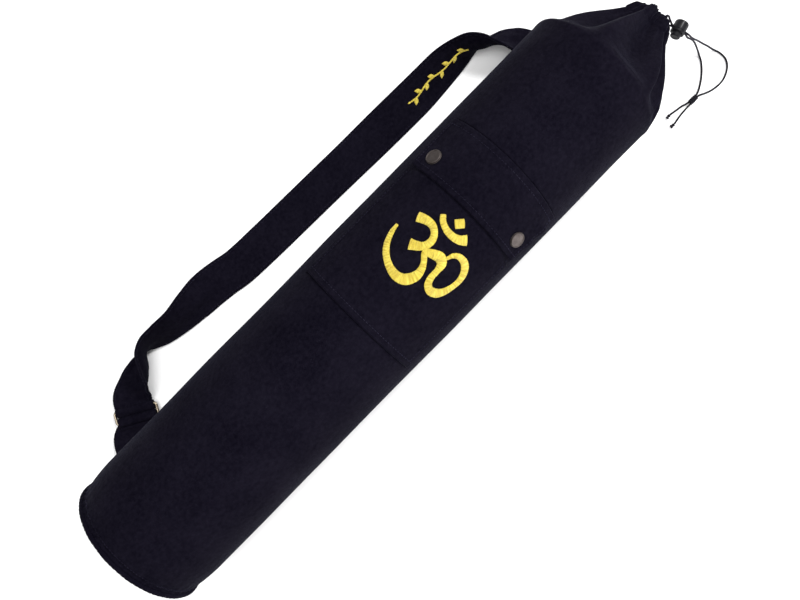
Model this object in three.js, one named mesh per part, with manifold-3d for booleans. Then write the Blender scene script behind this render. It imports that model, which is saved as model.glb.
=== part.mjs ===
// A yoga mat bag lying on its side: a round cloth tube, closed by a piped base at one end and gathered
// by a drawcord at the other, with a snap pocket on top and a shoulder strap that ends at a wire ring.
//
// Lengths are millimetres. X runs along the bag toward its gathered mouth, +Y is the strap's side, Z is
// up and z = 0 is the floor. The distance along the bag counts from the base, and the angle round the
// tube, in degrees, counts from the top and grows toward -Y.
import * as THREE from 'three';
import { mergeVertices } from 'three/addons/utils/BufferGeometryUtils.js';
import Module from 'manifold-3d';

const wasm = await Module();
wasm.setup();

const { degToRad, radToDeg, lerp, clamp, smoothstep, euclideanModulo } = THREE.MathUtils;

// Main sizes of the bag
const TUBE_RADIUS = 74;
const BODY_LENGTH = 621;
const NECK_LENGTH = 89;
const CLOTH = 1.5;
const PANEL_CLOTH = 1.2;
const GAP = 0.3;
const FINEST_EDGE = 0.1;
const FLOOR_FLAT = 1.5;

// Base, where the tube draws in to the piped seam
const BASE_SHARE = 0.95;
const BASE_SWELL = 34;
const BASE_DOME = 2;
const SWELL_SHARES = [0, 0.25, 0.55, 1];
const PIPING_RADIUS = 2.4;

// Pocket and flap on top of the tube
const POCKET_FOOT = 299;
const POCKET_LENGTH = 179;
const FLAP_HEM = 435;
const FLAP_LENGTH = 57;
const PANEL_WIDTH = 151;
const PANEL_TURN = 2.5;
const CORNER_LIFT = 5;

// Press studs on the flap
const SNAP_RADIUS = 7.5;
const SNAP_HEIGHT = 2;
const SNAP_APART = 114;
const SNAP_FROM_HEM = 15.5;

// Embroidered sign on the pocket
const SIGN_SIZE = 82;
const SIGN_FROM_FOOT = 88;
const SIGN_ASIDE = 5;
const STITCH_HEIGHT = 0.9;
const STITCH_LAYER = 0.12;

// Shoulder strap, its ring and its tab
const STRAP_WIDTH = 42;
const STRAP_CLOTH = 3;
const EYE_CLOTH = 2.4;
const WIRE_RADIUS = 1.5;
const RING_LENGTH = 49;
const RING_WIDTH = 16;
const RING_CORNER = 4;
const RING_ALONG = 53.2;
const RING_OUT = 99.1;
const RING_TURN = -30.1;
const SEAM_ANGLE = -133;
const SEWN_SHARE = 0.86;
const SEAM_SHARE = 1.02;
const SEAM_TO_LIE = 4;
const TAB_ALONG = 24;
const TAB_BEND = { along: 0.2, out: 0.6, lift: 0.05 };

// Garland embroidered on the strap
const GARLAND_LENGTH = 84;
const GARLAND_WIDTH = 13;
const GARLAND_FROM_SEAM = 108;
const GARLAND_SHARES = { swing: 0.12, stem: 0.11, leafLength: 0.62, leafWidth: 0.3 };
const GARLAND_WAVES = 2;
const LEAF_LEAN = 42;

// Cord lock and its spring button
const CORD_RADIUS = 1;
const LOCK_RADIUS = 7;
const LOCK_LENGTH = 12;
const LOCK_END_WALL = 1.6;
const LOCK_HOLE_AT = 4.3;
const LOCK_TURN = 15;
const LOCK_PLACE = [366.3, -27.5, 66];
const LOCK_CLEARANCE = 0.5;
const BUTTON_RADIUS = 5;
const BUTTON_STANDS_OUT = 4.5;
const BUTTON_END_BAR = 1.4;
const BUTTON_TRAVEL = 2.5;
const STRANDS_APART = 2.4;

// Knots in the drawcord
const KNOT_LENGTH = 11.5;
const KNOT_RADIUS = 2.6;
const END_KNOT_RADIUS = 1.9;

// Sizes that follow from the ones above
const BAG_LENGTH = BODY_LENGTH + NECK_LENGTH;
const AXIS_HEIGHT = TUBE_RADIUS - FLOOR_FLAT;
const PANEL_HALF_ANGLE = radToDeg(PANEL_WIDTH / 2 / TUBE_RADIUS);
const POCKET_RADIUS = TUBE_RADIUS + GAP + PANEL_CLOTH;
const FLAP_RADIUS = POCKET_RADIUS + GAP + PANEL_CLOTH;
const SNAP_ANGLE = radToDeg(SNAP_APART / 2 / FLAP_RADIUS);
const LIFT_ANGLE = radToDeg((SNAP_APART / 2 + SNAP_RADIUS) / FLAP_RADIUS);
const EYE_RADIUS = WIRE_RADIUS + GAP + EYE_CLOTH;
const EYE_RUN = 2.5 * EYE_RADIUS;
const BAND_WIDTH = Math.min(STRAP_WIDTH, RING_LENGTH - 4 * WIRE_RADIUS - 4 * GAP);
const EYE_LENGTH = BAND_WIDTH - 2 * GAP;
const BAR_OFFSET = RING_WIDTH / 2 - WIRE_RADIUS;
const RING_PLACE = new THREE.Vector3(RING_ALONG - BAG_LENGTH / 2, RING_OUT, EYE_RADIUS + GAP / 2);

// The neck past the rim, as shares of its length and of the tube's radius; a fold's hollow is wide where
// FOLD_ROUNDNESS is small
const FOLD_ROUNDNESS = 1.4;
const NECK_PROFILE = [
  { along: 0, ridge: 1, valley: 1 },
  { along: 0.05, ridge: 0.992, valley: 0.95 },
  { along: 0.12, ridge: 0.975, valley: 0.8 },
  { along: 0.23, ridge: 0.935, valley: 0.64 },
  { along: 0.34, ridge: 0.858, valley: 0.52 },
  { along: 0.45, ridge: 0.765, valley: 0.42 },
  { along: 0.56, ridge: 0.655, valley: 0.34 },
  { along: 0.67, ridge: 0.54, valley: 0.27 },
  { along: 0.78, ridge: 0.435, valley: 0.21 },
  { along: 0.89, ridge: 0.36, valley: 0.17 },
  { along: 0.96, ridge: 0.32, valley: 0.15 },
  { along: 1, ridge: 0.23, valley: 0.14 },
];

// The gathers round the neck: where each ridge lies, in degrees from the top, how far out it stands as a
// share of the neck's profile, how much of the full depth the hollow after it has, and the strips that
// the cloth is divided into up to the next ridge
const PLEATS = [
  { ridge: -75, reach: 0.87, depth: 1, strips: 9 },
  { ridge: -17, reach: 0.97, depth: 0.85, strips: 9 },
  { ridge: 40, reach: 1, depth: 0.5, strips: 4 },
  { ridge: 60, reach: 1, depth: 0.45, strips: 4 },
  { ridge: 77, reach: 1, depth: 0.7, strips: 5 },
  { ridge: 103, reach: 1, depth: 0.7, strips: 5 },
  { ridge: 128, reach: 1, depth: 0.65, strips: 5 },
  { ridge: 153, reach: 1, depth: 0.7, strips: 6 },
  { ridge: 180, reach: 1, depth: 0.7, strips: 6 },
  { ridge: 207, reach: 1, depth: 0.65, strips: 5 },
  { ridge: 232, reach: 1, depth: 0.7, strips: 5 },
  { ridge: 258, reach: 0.9, depth: 0.7, strips: 5 },
];

// Strokes of the sign, as hundredths of its size from its middle: round the tube, along it, and width
const SIGN_STROKES = {
  om_sign: [
    [
      { round: -37.4, along: 17.3, width: 11.3 },
      { round: -31.3, along: 19.9, width: 10.4 },
      { round: -23.9, along: 21.6, width: 9 },
      { round: -17.3, along: 20.6, width: 7.9 },
      { round: -11.5, along: 16.2, width: 7.4 },
      { round: -8.5, along: 10, width: 7.9 },
      { round: -8.9, along: 2.8, width: 8.3 },
      { round: -12.4, along: -2.8, width: 9 },
      { round: -18.4, along: -7.1, width: 10.7 },
      { round: -22.8, along: -9.5, width: 12.2 },
    ],
    [
      { round: -48, along: -3.5, width: 3.5 },
      { round: -46.5, along: -13, width: 5.5 },
      { round: -42, along: -24, width: 6.5 },
      { round: -35.5, along: -32.5, width: 7.2 },
      { round: -27.5, along: -38.5, width: 7.5 },
      { round: -18, along: -42.5, width: 8.8 },
      { round: -9, along: -43.5, width: 10.4 },
      { round: -1, along: -40.5, width: 11.8 },
      { round: 4, along: -34, width: 11.4 },
      { round: 6, along: -26.5, width: 9.8 },
      { round: 4.8, along: -19, width: 7.6 },
      { round: 1.2, along: -12.5, width: 6.2 },
      { round: -3.7, along: -6.7, width: 6.6 },
      { round: -6.1, along: -1.3, width: 7 },
    ],
    [
      { round: -6, along: -4.5, width: 7 },
      { round: 2.5, along: 0, width: 10 },
      { round: 10.5, along: 2.6, width: 12 },
      { round: 16.5, along: -1, width: 10.5 },
      { round: 18.3, along: -9, width: 7 },
      { round: 18.8, along: -19, width: 7.3 },
      { round: 22, along: -26.5, width: 8.2 },
      { round: 28.5, along: -29.5, width: 9.4 },
      { round: 36, along: -26.5, width: 10 },
      { round: 41.5, along: -19.5, width: 8.3 },
      { round: 45, along: -9, width: 7.2 },
      { round: 45.8, along: 2, width: 7.8 },
      { round: 42, along: 11.5, width: 9 },
      { round: 34.5, along: 17.5, width: 8.6 },
      { round: 25.5, along: 18, width: 6.6 },
      { round: 19.5, along: 14, width: 5.2 },
      { round: 16.5, along: 7, width: 3.4 },
    ],
  ],
  om_crescent: [
    [
      { round: -19, along: 37.5, width: 6 },
      { round: -14.5, along: 32.5, width: 6.6 },
      { round: -8.5, along: 29.3, width: 7 },
      { round: -1.5, along: 27.8, width: 7.7 },
      { round: 6, along: 28.2, width: 8.4 },
      { round: 13, along: 31, width: 10 },
      { round: 18.3, along: 35.8, width: 11.8 },
    ],
  ],
  om_bindu: [
    [
      { round: -3.4, along: 38.4, width: 11 },
      { round: 3.9, along: 46.8, width: 11 },
    ],
  ],
};

// The strap from the tube's seam near the mouth to the ring: the middle line as shares of the bag's
// half length and of the tube's radius, its roll in degrees, and how far its lower edge is lifted, as a
// share of the strap's width
const STRAP_LIE = [
  { along: 0.766, out: 1.001, roll: 176, lift: 0.06 },
  { along: 0.748, out: 1.154, roll: 156, lift: 0 },
  { along: 0.721, out: 1.297, roll: 132, lift: 0 },
  { along: 0.695, out: 1.412, roll: 114, lift: 0 },
  { along: 0.666, out: 1.518, roll: 90, lift: 0 },
  { along: 0.635, out: 1.595, roll: 70, lift: 0 },
  { along: 0.597, out: 1.632, roll: 54, lift: 0 },
  { along: 0.544, out: 1.654, roll: 38, lift: 0 },
  { along: 0.479, out: 1.654, roll: 29, lift: 0 },
  { along: 0.417, out: 1.659, roll: 20, lift: 0 },
  { along: 0.296, out: 1.678, roll: 12, lift: 0 },
  { along: 0.175, out: 1.701, roll: 2, lift: 0 },
  { along: 0.054, out: 1.72, roll: 0, lift: 0 },
  { along: -0.068, out: 1.735, roll: 0, lift: 0 },
  { along: -0.189, out: 1.75, roll: 0, lift: 0 },
  { along: -0.31, out: 1.776, roll: 0, lift: 0 },
  { along: -0.372, out: 1.824, roll: 4, lift: 0 },
  { along: -0.431, out: 1.846, roll: 18, lift: 0 },
  { along: -0.49, out: 1.83, roll: 38, lift: 0 },
  { along: -0.552, out: 1.816, roll: 53, lift: 0 },
  { along: -0.611, out: 1.846, roll: 60, lift: 0 },
  { along: -0.654, out: 1.877, roll: 72, lift: 0 },
  { along: -0.69, out: 1.857, roll: 92, lift: 0 },
  { along: -0.725, out: 1.777, roll: 120, lift: 0 },
  { along: -0.759, out: 1.689, roll: 146, lift: 0 },
  { along: -0.793, out: 1.619, roll: 168, lift: 0 },
];
const STRAP_STEPS = 50;

// Leaves of the garland: where each springs from the stem, as a share of the garland's length, and
// which side it points to
const GARLAND_LEAVES = [
  { at: 0.05, side: 1 },
  { at: 0.17, side: -1 },
  { at: 0.29, side: 1 },
  { at: 0.41, side: -1 },
  { at: 0.53, side: 1 },
  { at: 0.65, side: -1 },
  { at: 0.77, side: 1 },
  { at: 0.87, side: -1 },
];

// The drawcord's two strands from the mouth, through the lock and down to the knot on the floor, and
// the two tails past the knot
const CORD_ROUTES = {
  cord_strand_inner: [
    [355.8, -12.8, 79.9],
    [358.2, -13.2, 78.8],
    [359.8, -15.2, 72.4],
    [362, -17.6, 67],
    [364.4, -20.1, 65.1],
    [365.2, -23.6, 64.8],
    [366.3, -27.5, 64.8],
    [367.47, -31.85, 64.8],
    [368.4, -35.3, 64.4],
    [371.6, -38.2, 57.5],
    [377, -40.6, 48],
    [384, -44.2, 38],
    [390.6, -48.3, 26.5],
    [394.9, -53.4, 16],
    [397.4, -58.6, 7.5],
    [397.8, -63.4, 2.4],
    [395.5, -69, 1.25],
    [387.9, -77.7, 1.25],
    [376.5, -86.4, 1.3],
    [366.2, -91, 2.2],
  ],
  cord_strand_outer: [
    [355.8, -9.5, 83.8],
    [358.6, -9.9, 82.9],
    [362.2, -11.8, 77.4],
    [364.2, -15.2, 70.8],
    [364.3, -20.3, 67.4],
    [365.2, -23.6, 67.2],
    [366.3, -27.5, 67.2],
    [367.47, -31.85, 67.2],
    [368.6, -36, 67],
    [372.4, -40.2, 61],
    [377.8, -42.9, 51.5],
    [384.4, -46.4, 41.5],
    [392.6, -50.8, 29.5],
    [401.2, -57, 17],
    [408.4, -63.2, 7.5],
    [412.6, -69.6, 2.4],
    [415.6, -76.8, 1.25],
    [415.8, -85.5, 1.25],
    [412.2, -92.4, 1.25],
    [403.1, -98.7, 1.25],
    [393.2, -101, 1.25],
    [380.8, -99.5, 1.25],
    [373, -96.6, 1.3],
    [366.2, -93.5, 2.2],
  ],
  cord_tail_inner: [
    [354.1, -91, 2.2],
    [345.4, -88.6, 1.25],
    [338, -87.4, 1.25],
    [330.6, -86, 1.25],
  ],
  cord_tail_outer: [
    [354.1, -93.5, 2.2],
    [344.5, -94, 1.25],
    [337, -94.6, 1.25],
    [327, -96.3, 1.25],
  ],
};
const CORD_STEP = 6;
const CORD_SIDES = 8;

// Materials
function look(color, roughness, metalness) {
  return new THREE.MeshStandardMaterial({ color, roughness, metalness });
}
const BODY_CLOTH = look(0x16141e, 0.95, 0);
const TRIM_CLOTH = look(0x14121b, 0.95, 0);
const THREAD = look(0xe0b32c, 0.55, 0);
const STUD_METAL = look(0xb9bcc4, 0.35, 1);
const RING_METAL = look(0xa89a7c, 0.4, 1);
const LOCK_PLASTIC = look(0x0b0b0d, 0.3, 0);
const CORD_FIBRE = look(0x0d0c12, 0.7, 0);

const bag = new THREE.Group();

function add(name, geometry, material) {
  geometry.computeVertexNormals();
  const mesh = new THREE.Mesh(geometry, material);
  mesh.name = name;
  bag.add(mesh);
  return mesh;
}

// Curves through the rows of a table


function readTable(rows, key, column, value) {
  let i = 0;
  while (i < rows.length - 2 && value > rows[i + 1][key]) {
    i += 1;
  }
  const share = (value - rows[i][key]) / (rows[i + 1][key] - rows[i][key]);
  return lerp(rows[i][column], rows[i + 1][column], clamp(share, 0, 1));
}

// A smooth curve through the values of one column, at a share of the way through the rows
function smoothColumn(rows, column, share) {
  const place = clamp(share, 0, 1) * (rows.length - 1);
  const i = Math.min(Math.floor(place), rows.length - 2);
  const t = place - i;
  const value = (k) => rows[clamp(k, 0, rows.length - 1)][column];
  const startSlope = (value(i + 1) - value(i - 1)) / 2;
  const endSlope = (value(i + 2) - value(i)) / 2;
  const cube = t * t * t;
  const square = t * t;
  return (2 * cube - 3 * square + 1) * value(i) + (cube - 2 * square + t) * startSlope
    + (3 * square - 2 * cube) * value(i + 1) + (cube - square) * endSlope;
}

// Closed solids

// A wall between two grids of points, closed along its edges. With wrap, the columns run round and meet.
function wall(outer, inner, wrap) {
  const rows = outer.length;
  const columns = outer[0].length;
  const positions = [...outer, ...inner].flat().flatMap((p) => [p.x, p.y, p.z]);
  const at = (side, i, j) => side * rows * columns + i * columns + (j % columns);
  const faces = [];
  const quad = (a, b, c, d) => faces.push(a, b, c, a, c, d);
  const strips = wrap ? columns : columns - 1;
  const end = rows - 1;
  for (let j = 0; j < strips; j += 1) {
    for (let i = 0; i < end; i += 1) {
      quad(at(0, i, j), at(0, i, j + 1), at(0, i + 1, j + 1), at(0, i + 1, j));
      quad(at(1, i, j), at(1, i + 1, j), at(1, i + 1, j + 1), at(1, i, j + 1));
    }
    quad(at(0, 0, j), at(1, 0, j), at(1, 0, j + 1), at(0, 0, j + 1));
    quad(at(0, end, j), at(0, end, j + 1), at(1, end, j + 1), at(1, end, j));
  }
  if (!wrap) {
    for (let i = 0; i < end; i += 1) {
      quad(at(0, i, 0), at(0, i + 1, 0), at(1, i + 1, 0), at(1, i, 0));
      quad(at(0, i, strips), at(1, i, strips), at(1, i + 1, strips), at(0, i + 1, strips));
    }
  }
  return facingOut(positions, faces);
}

// A geometry from points and triangles, with its faces turned outward
function facingOut(positions, faces) {
  const a = new THREE.Vector3();
  const b = new THREE.Vector3();
  const c = new THREE.Vector3();
  let volume = 0;
  for (let f = 0; f < faces.length; f += 3) {
    a.fromArray(positions, faces[f] * 3);
    b.fromArray(positions, faces[f + 1] * 3);
    c.fromArray(positions, faces[f + 2] * 3);
    volume += a.dot(b.cross(c));
  }
  const geometry = new THREE.BufferGeometry();
  geometry.setAttribute('position', new THREE.Float32BufferAttribute(positions, 3));
  geometry.setIndex(volume < 0 ? faces.toReversed() : faces);
  return geometry;
}

// The same geometry with its shared corners merged and its empty triangles dropped
function merged(geometry) {
  const bare = geometry.clone();
  bare.deleteAttribute('normal');
  bare.deleteAttribute('uv');
  const whole = mergeVertices(bare);
  const index = whole.index.array;
  const faces = [];
  for (let f = 0; f < index.length; f += 3) {
    const [a, b, c] = [index[f], index[f + 1], index[f + 2]];
    if (a !== b && b !== c && c !== a) {
      faces.push(a, b, c);
    }
  }
  whole.setIndex(faces);
  return whole;
}

function toSolid(geometry) {
  const whole = merged(geometry);
  const vertProperties = new Float32Array(whole.attributes.position.array);
  const triVerts = new Uint32Array(whole.index.array);
  return new wasm.Manifold(new wasm.Mesh({ numProp: 3, vertProperties, triVerts }));
}

// A solid's geometry, without edges and slivers finer than FINEST_EDGE
function toGeometry(solid) {
  const mesh = solid.asOriginal().simplify(FINEST_EDGE).getMesh();
  const geometry = new THREE.BufferGeometry();
  geometry.setAttribute('position', new THREE.BufferAttribute(mesh.vertProperties, 3));
  geometry.setIndex(new THREE.BufferAttribute(drawnTogether(mesh.vertProperties, mesh.triVerts), 1));
  return merged(geometry);
}

// The triangles with the two corners of each edge that is still finer than FINEST_EDGE made one
function drawnTogether(positions, faces) {
  const corner = Array.from({ length: positions.length / 3 }, (_, i) => i);
  const a = new THREE.Vector3();
  const b = new THREE.Vector3();
  for (let f = 0; f < faces.length; f += 1) {
    const from = faces[f];
    const to = faces[f % 3 === 2 ? f - 2 : f + 1];
    const gap = a.fromArray(positions, from * 3).distanceTo(b.fromArray(positions, to * 3));
    if (from < to && gap < FINEST_EDGE) {
      corner[to] = corner[from];
    }
  }
  return faces.map((i) => corner[i]);
}

// The outline of a turned piece, as [radius, height] corners from the axis back to the axis
function turned(corners, sides) {
  return merged(new THREE.LatheGeometry(corners.map(([r, h]) => new THREE.Vector2(r, h)), sides));
}

// Places on the tube

function onTube(along, angle, radius, lowest = 0) {
  const turn = degToRad(angle);
  const height = AXIS_HEIGHT + radius * Math.cos(turn);
  return new THREE.Vector3(along - BAG_LENGTH / 2, -radius * Math.sin(turn), Math.max(height, lowest));
}

// The fold at an angle: how far out its ridges stand, and how deep it is, from 0 on a ridge to the
// pleat's own depth half way to the next
function foldAt(angle) {
  const from = PLEATS[0].ridge;
  const turn = euclideanModulo(angle - from, 360) + from;
  let i = PLEATS.length - 1;
  while (PLEATS[i].ridge > turn) {
    i -= 1;
  }
  const next = (i + 1) % PLEATS.length;
  const end = next > 0 ? PLEATS[next].ridge : from + 360;
  const share = (turn - PLEATS[i].ridge) / (end - PLEATS[i].ridge);
  return {
    reach: lerp(PLEATS[i].reach, PLEATS[next].reach, smoothstep(share, 0, 1)),
    depth: PLEATS[i].depth * Math.pow(Math.sin(Math.PI * share), FOLD_ROUNDNESS),
  };
}

// The radius of the highest ridges: the tube swells from the base seam, runs straight to the rim and
// draws in past it
function ridgeRadius(along) {
  const swell = Math.sin(clamp(along / BASE_SWELL, 0, 1) * Math.PI / 2);
  const share = (along - BODY_LENGTH) / NECK_LENGTH;
  const neck = readTable(NECK_PROFILE, 'along', 'ridge', share);
  return TUBE_RADIUS * Math.min(lerp(BASE_SHARE, 1, swell), neck);
}

// The tube's outer radius with its gathers
function tubeRadius(along, angle) {
  if (along <= BODY_LENGTH) {
    return ridgeRadius(along);
  }
  const share = (along - BODY_LENGTH) / NECK_LENGTH;
  const fold = foldAt(angle);
  const ridge = ridgeRadius(along) * lerp(1, fold.reach, smoothstep(share, 0, NECK_PROFILE[3].along));
  const valley = TUBE_RADIUS * readTable(NECK_PROFILE, 'along', 'valley', share);
  return lerp(ridge, Math.min(valley, ridge), fold.depth);
}

// The wall's depth toward the axis, deeper where the cloth slopes so that it stays as thick
function wallDepth(along, angle) {
  const step = 1;
  const radius = tubeRadius(along, angle);
  const slope = (tubeRadius(along + step, angle) - tubeRadius(along - step, angle)) / (2 * step);
  const round = degToRad(2 * step) * radius;
  const tilt = (tubeRadius(along, angle + step) - tubeRadius(along, angle - step)) / round;
  const steepest = 2.2;
  return CLOTH * Math.min(Math.sqrt(1 + slope * slope + tilt * tilt), steepest);
}

// Round body with the gathered neck

function bagTube() {
  const angles = PLEATS.flatMap((pleat, i) => {
    const next = i + 1 < PLEATS.length ? PLEATS[i + 1].ridge : PLEATS[0].ridge + 360;
    return Array.from({ length: pleat.strips }, (_, k) => lerp(pleat.ridge, next, k / pleat.strips));
  });
  const stations = [
    ...SWELL_SHARES.map((share) => share * BASE_SWELL),
    BODY_LENGTH / 2,
    ...NECK_PROFILE.map((row) => BODY_LENGTH + row.along * NECK_LENGTH),
  ];
  const outer = stations.map((s) => angles.map((a) => onTube(s, a, tubeRadius(s, a))));
  const inner = stations.map((s) => angles.map((a) => (
    onTube(s, a, tubeRadius(s, a) - wallDepth(s, a), CLOTH)
  )));
  return wall(outer, inner, true);
}
add('bag_tube', bagTube(), BODY_CLOTH);

// Base panel and its piping

const BASE_SIDES = 42;

function basePanel() {
  const radius = ridgeRadius(0) - wallDepth(0, 0) - GAP;
  const rings = 2;
  const front = [];
  for (let i = 0; i <= rings; i += 1) {
    const share = i / rings;
    front.push([radius * share, -BASE_DOME * (1 - share * share)]);
  }
  const back = front.map(([r, h]) => [r, h + CLOTH]).reverse();
  const disc = turned([...front, ...back], BASE_SIDES);
  disc.rotateZ(-Math.PI / 2);
  disc.translate(-BAG_LENGTH / 2, 0, AXIS_HEIGHT);
  return disc;
}
add('base_panel', basePanel(), BODY_CLOTH);

function basePiping() {
  const radius = ridgeRadius(0);
  const cordSides = 6;
  const ring = merged(new THREE.TorusGeometry(radius, PIPING_RADIUS, cordSides, BASE_SIDES));
  ring.rotateY(Math.PI / 2);
  ring.translate(-PIPING_RADIUS - GAP - BAG_LENGTH / 2, 0, AXIS_HEIGHT);
  return ring;
}
add('base_piping', basePiping(), TRIM_CLOTH);

// Pocket and flap

const PANEL_STRIPS = 26;
const PANEL_ANGLES = Array.from({ length: PANEL_STRIPS + 1 }, (_, i) => (
  PANEL_TURN + lerp(-PANEL_HALF_ANGLE, PANEL_HALF_ANGLE, i / PANEL_STRIPS)
));

// A panel that lies round the tube, through stations with the radius of its underside
function curvedPanel(stations, lift) {
  const grid = (height) => stations.map((row) => PANEL_ANGLES.map((angle) => (
    onTube(row.along, angle, row.radius + height + lift(row.along, angle))
  )));
  return wall(grid(PANEL_CLOTH), grid(0), false);
}

function pocketPanel() {
  const under = TUBE_RADIUS + GAP;
  const stations = [
    { along: POCKET_FOOT, radius: under },
    { along: POCKET_FOOT + POCKET_LENGTH / 2, radius: under },
    { along: POCKET_FOOT + POCKET_LENGTH, radius: under },
  ];
  return curvedPanel(stations, () => 0);
}
add('pocket_panel', pocketPanel(), BODY_CLOTH);

// How far the flap's free corners stand off the pocket, outside the press studs
function cornerLift(along, angle) {
  const outward = smoothstep(Math.abs(angle - PANEL_TURN), LIFT_ANGLE, PANEL_HALF_ANGLE);
  const hemward = clamp(1 - (along - FLAP_HEM) / FLAP_LENGTH, 0, 1);
  return CORNER_LIFT * outward * hemward * hemward;
}

function pocketFlap() {
  const pocketTop = POCKET_FOOT + POCKET_LENGTH;
  const overPocket = POCKET_RADIUS + GAP;
  const stations = [
    { along: FLAP_HEM, radius: overPocket },
    { along: FLAP_HEM + SNAP_FROM_HEM / 2, radius: overPocket },
    { along: FLAP_HEM + SNAP_FROM_HEM, radius: overPocket },
    { along: pocketTop + GAP, radius: overPocket },
    { along: FLAP_HEM + FLAP_LENGTH, radius: TUBE_RADIUS + GAP },
  ];
  return curvedPanel(stations, cornerLift);
}
add('pocket_flap', pocketFlap(), BODY_CLOTH);

// Press studs

function snapCap() {
  const rim = 1.2;
  const edge = 0.5;
  const dish = 0.4;
  const sides = 16;
  return turned([
    [0, 0],
    [SNAP_RADIUS - edge, 0],
    [SNAP_RADIUS, edge],
    [SNAP_RADIUS, SNAP_HEIGHT - edge],
    [SNAP_RADIUS - edge, SNAP_HEIGHT],
    [SNAP_RADIUS - rim, SNAP_HEIGHT],
    [SNAP_RADIUS - rim - edge, SNAP_HEIGHT - dish],
    [0, SNAP_HEIGHT - dish],
  ], sides);
}

for (const [name, side] of [['snap_cap_left', -1], ['snap_cap_right', 1]]) {
  const angle = PANEL_TURN + side * SNAP_ANGLE;
  const cap = add(name, snapCap(), STUD_METAL);
  cap.position.copy(onTube(FLAP_HEM + SNAP_FROM_HEM, angle, FLAP_RADIUS + GAP));
  cap.rotation.x = Math.PI / 2 + degToRad(angle);
}

// Raised satin stitch: a stroke is a low wall that is thickest along its middle

// Rows of left edge, middle and right edge, from the middle line and the width at each row
function strokeRows(points) {
  return points.map(({ u, v, width }, i) => {
    const before = points[Math.max(i - 1, 0)];
    const after = points[Math.min(i + 1, points.length - 1)];
    const length = Math.hypot(after.u - before.u, after.v - before.v);
    const sideU = -(after.v - before.v) / length * width / 2;
    const sideV = (after.u - before.u) / length * width / 2;
    return [[u - sideU, v - sideV, 0.5], [u, v, 1], [u + sideU, v + sideV, 0.5]];
  });
}

// The stroke laid on a surface, which gives a place for two lengths on the cloth and a height over it
function satinStroke(points, surface, low) {
  const rows = strokeRows(points);
  const top = rows.map((row) => row.map(([u, v, rise]) => surface(u, v, low + rise * STITCH_HEIGHT)));
  const foot = rows.map((row) => row.map(([u, v]) => surface(u, v, low)));
  return toSolid(wall(top, foot, false));
}

// Strokes joined in one figure; those sewn later lie a little over the first one
function satinFigure(strokes, surface) {
  const layers = 2;
  const low = (k) => GAP + Math.min(k, layers) * STITCH_LAYER;
  return toGeometry(strokes.map((points, k) => satinStroke(points, surface, low(k))).reduce((a, b) => a.add(b)));
}

// Embroidered sign

const SIGN_MIDDLE = POCKET_FOOT + SIGN_FROM_FOOT;

function onPocket(round, along, height) {
  const radius = POCKET_RADIUS + height;
  const angle = PANEL_TURN + radToDeg((SIGN_ASIDE + round) / POCKET_RADIUS);
  return onTube(SIGN_MIDDLE + along, angle, radius);
}

for (const [name, strokes] of Object.entries(SIGN_STROKES)) {
  const scale = SIGN_SIZE / 100;
  const sized = strokes.map((rows) => rows.map(({ round, along, width }) => (
    { u: round * scale, v: along * scale, width: width * scale }
  )));
  add(name, satinFigure(sized, onPocket), THREAD);
}

// Shoulder strap

const RING_AXIS = new THREE.Vector3(Math.cos(degToRad(RING_TURN)), Math.sin(degToRad(RING_TURN)), 0);
const RING_TO_BAG = new THREE.Vector3(RING_AXIS.y, -RING_AXIS.x, 0);

// Middle of the bar that a strap's end loops over; the strap's own bar lies away from the bag
function barMiddle(side) {
  return RING_PLACE.clone().addScaledVector(RING_TO_BAG, side * BAR_OFFSET);
}

// A place that the strap or the tab passes through: its middle, and its roll in degrees
function strapRow(x, y, roll, lift) {
  const tilt = degToRad(roll);
  const rise = Math.abs(Math.sin(tilt)) * STRAP_WIDTH / 2 + Math.abs(Math.cos(tilt)) * STRAP_CLOTH / 2;
  return { x, y, z: rise + GAP + lift * STRAP_WIDTH, roll };
}

// A place where a strap leaves the tube's lengthwise seam, at a distance from the tube's axis
function seamRow(along, share, roll) {
  const place = onTube(along, SEAM_ANGLE, TUBE_RADIUS * share);
  return { x: place.x, y: place.y, z: place.z, roll };
}

const HALF_LENGTH = BAG_LENGTH / 2;
const STRAP_END_ALONG = HALF_LENGTH * (1 + STRAP_LIE[0].along) + SEAM_TO_LIE;

// A place square to the ring's bar, where the strap or the tab runs up to its eye
function beforeEye(side, distance, roll) {
  const place = barMiddle(side).addScaledVector(RING_TO_BAG, side * distance);
  return { x: place.x, y: place.y, z: place.z, roll };
}

const STRAP_PATH = [
  seamRow(STRAP_END_ALONG, SEWN_SHARE, 180),
  seamRow(STRAP_END_ALONG, SEAM_SHARE, 180),
  ...STRAP_LIE.map((row) => strapRow(row.along * HALF_LENGTH, row.out * TUBE_RADIUS, row.roll, row.lift)),
  beforeEye(-1, EYE_RUN, 180),
  beforeEye(-1, 0, 180),
];

// A band along a path: the place at a share of its length, across its width and above its middle
function onBand(path, share, across, height) {
  const middle = (t) => new THREE.Vector3(...['x', 'y', 'z'].map((axis) => smoothColumn(path, axis, t)));
  const step = 0.002;
  const heading = middle(Math.min(share + step, 1)).sub(middle(Math.max(share - step, 0))).normalize();
  const level = new THREE.Vector3(heading.y, -heading.x, 0).normalize();
  const upright = level.clone().cross(heading);
  const roll = degToRad(smoothColumn(path, 'roll', share));
  const side = level.clone().multiplyScalar(Math.cos(roll)).addScaledVector(upright, Math.sin(roll));
  const face = upright.multiplyScalar(Math.cos(roll)).addScaledVector(level, -Math.sin(roll));
  return middle(share).addScaledVector(side, across).addScaledVector(face, height);
}

function band(path, steps, width) {
  const columns = [-0.5, -0.17, 0.17, 0.5];
  const rows = Array.from({ length: steps + 1 }, (_, i) => i / steps);
  const grid = (height) => rows.map((share) => columns.map((c) => (
    onBand(path, share, c * width, height)
  )));
  return wall(grid(STRAP_CLOTH / 2), grid(-STRAP_CLOTH / 2), false);
}

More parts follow.
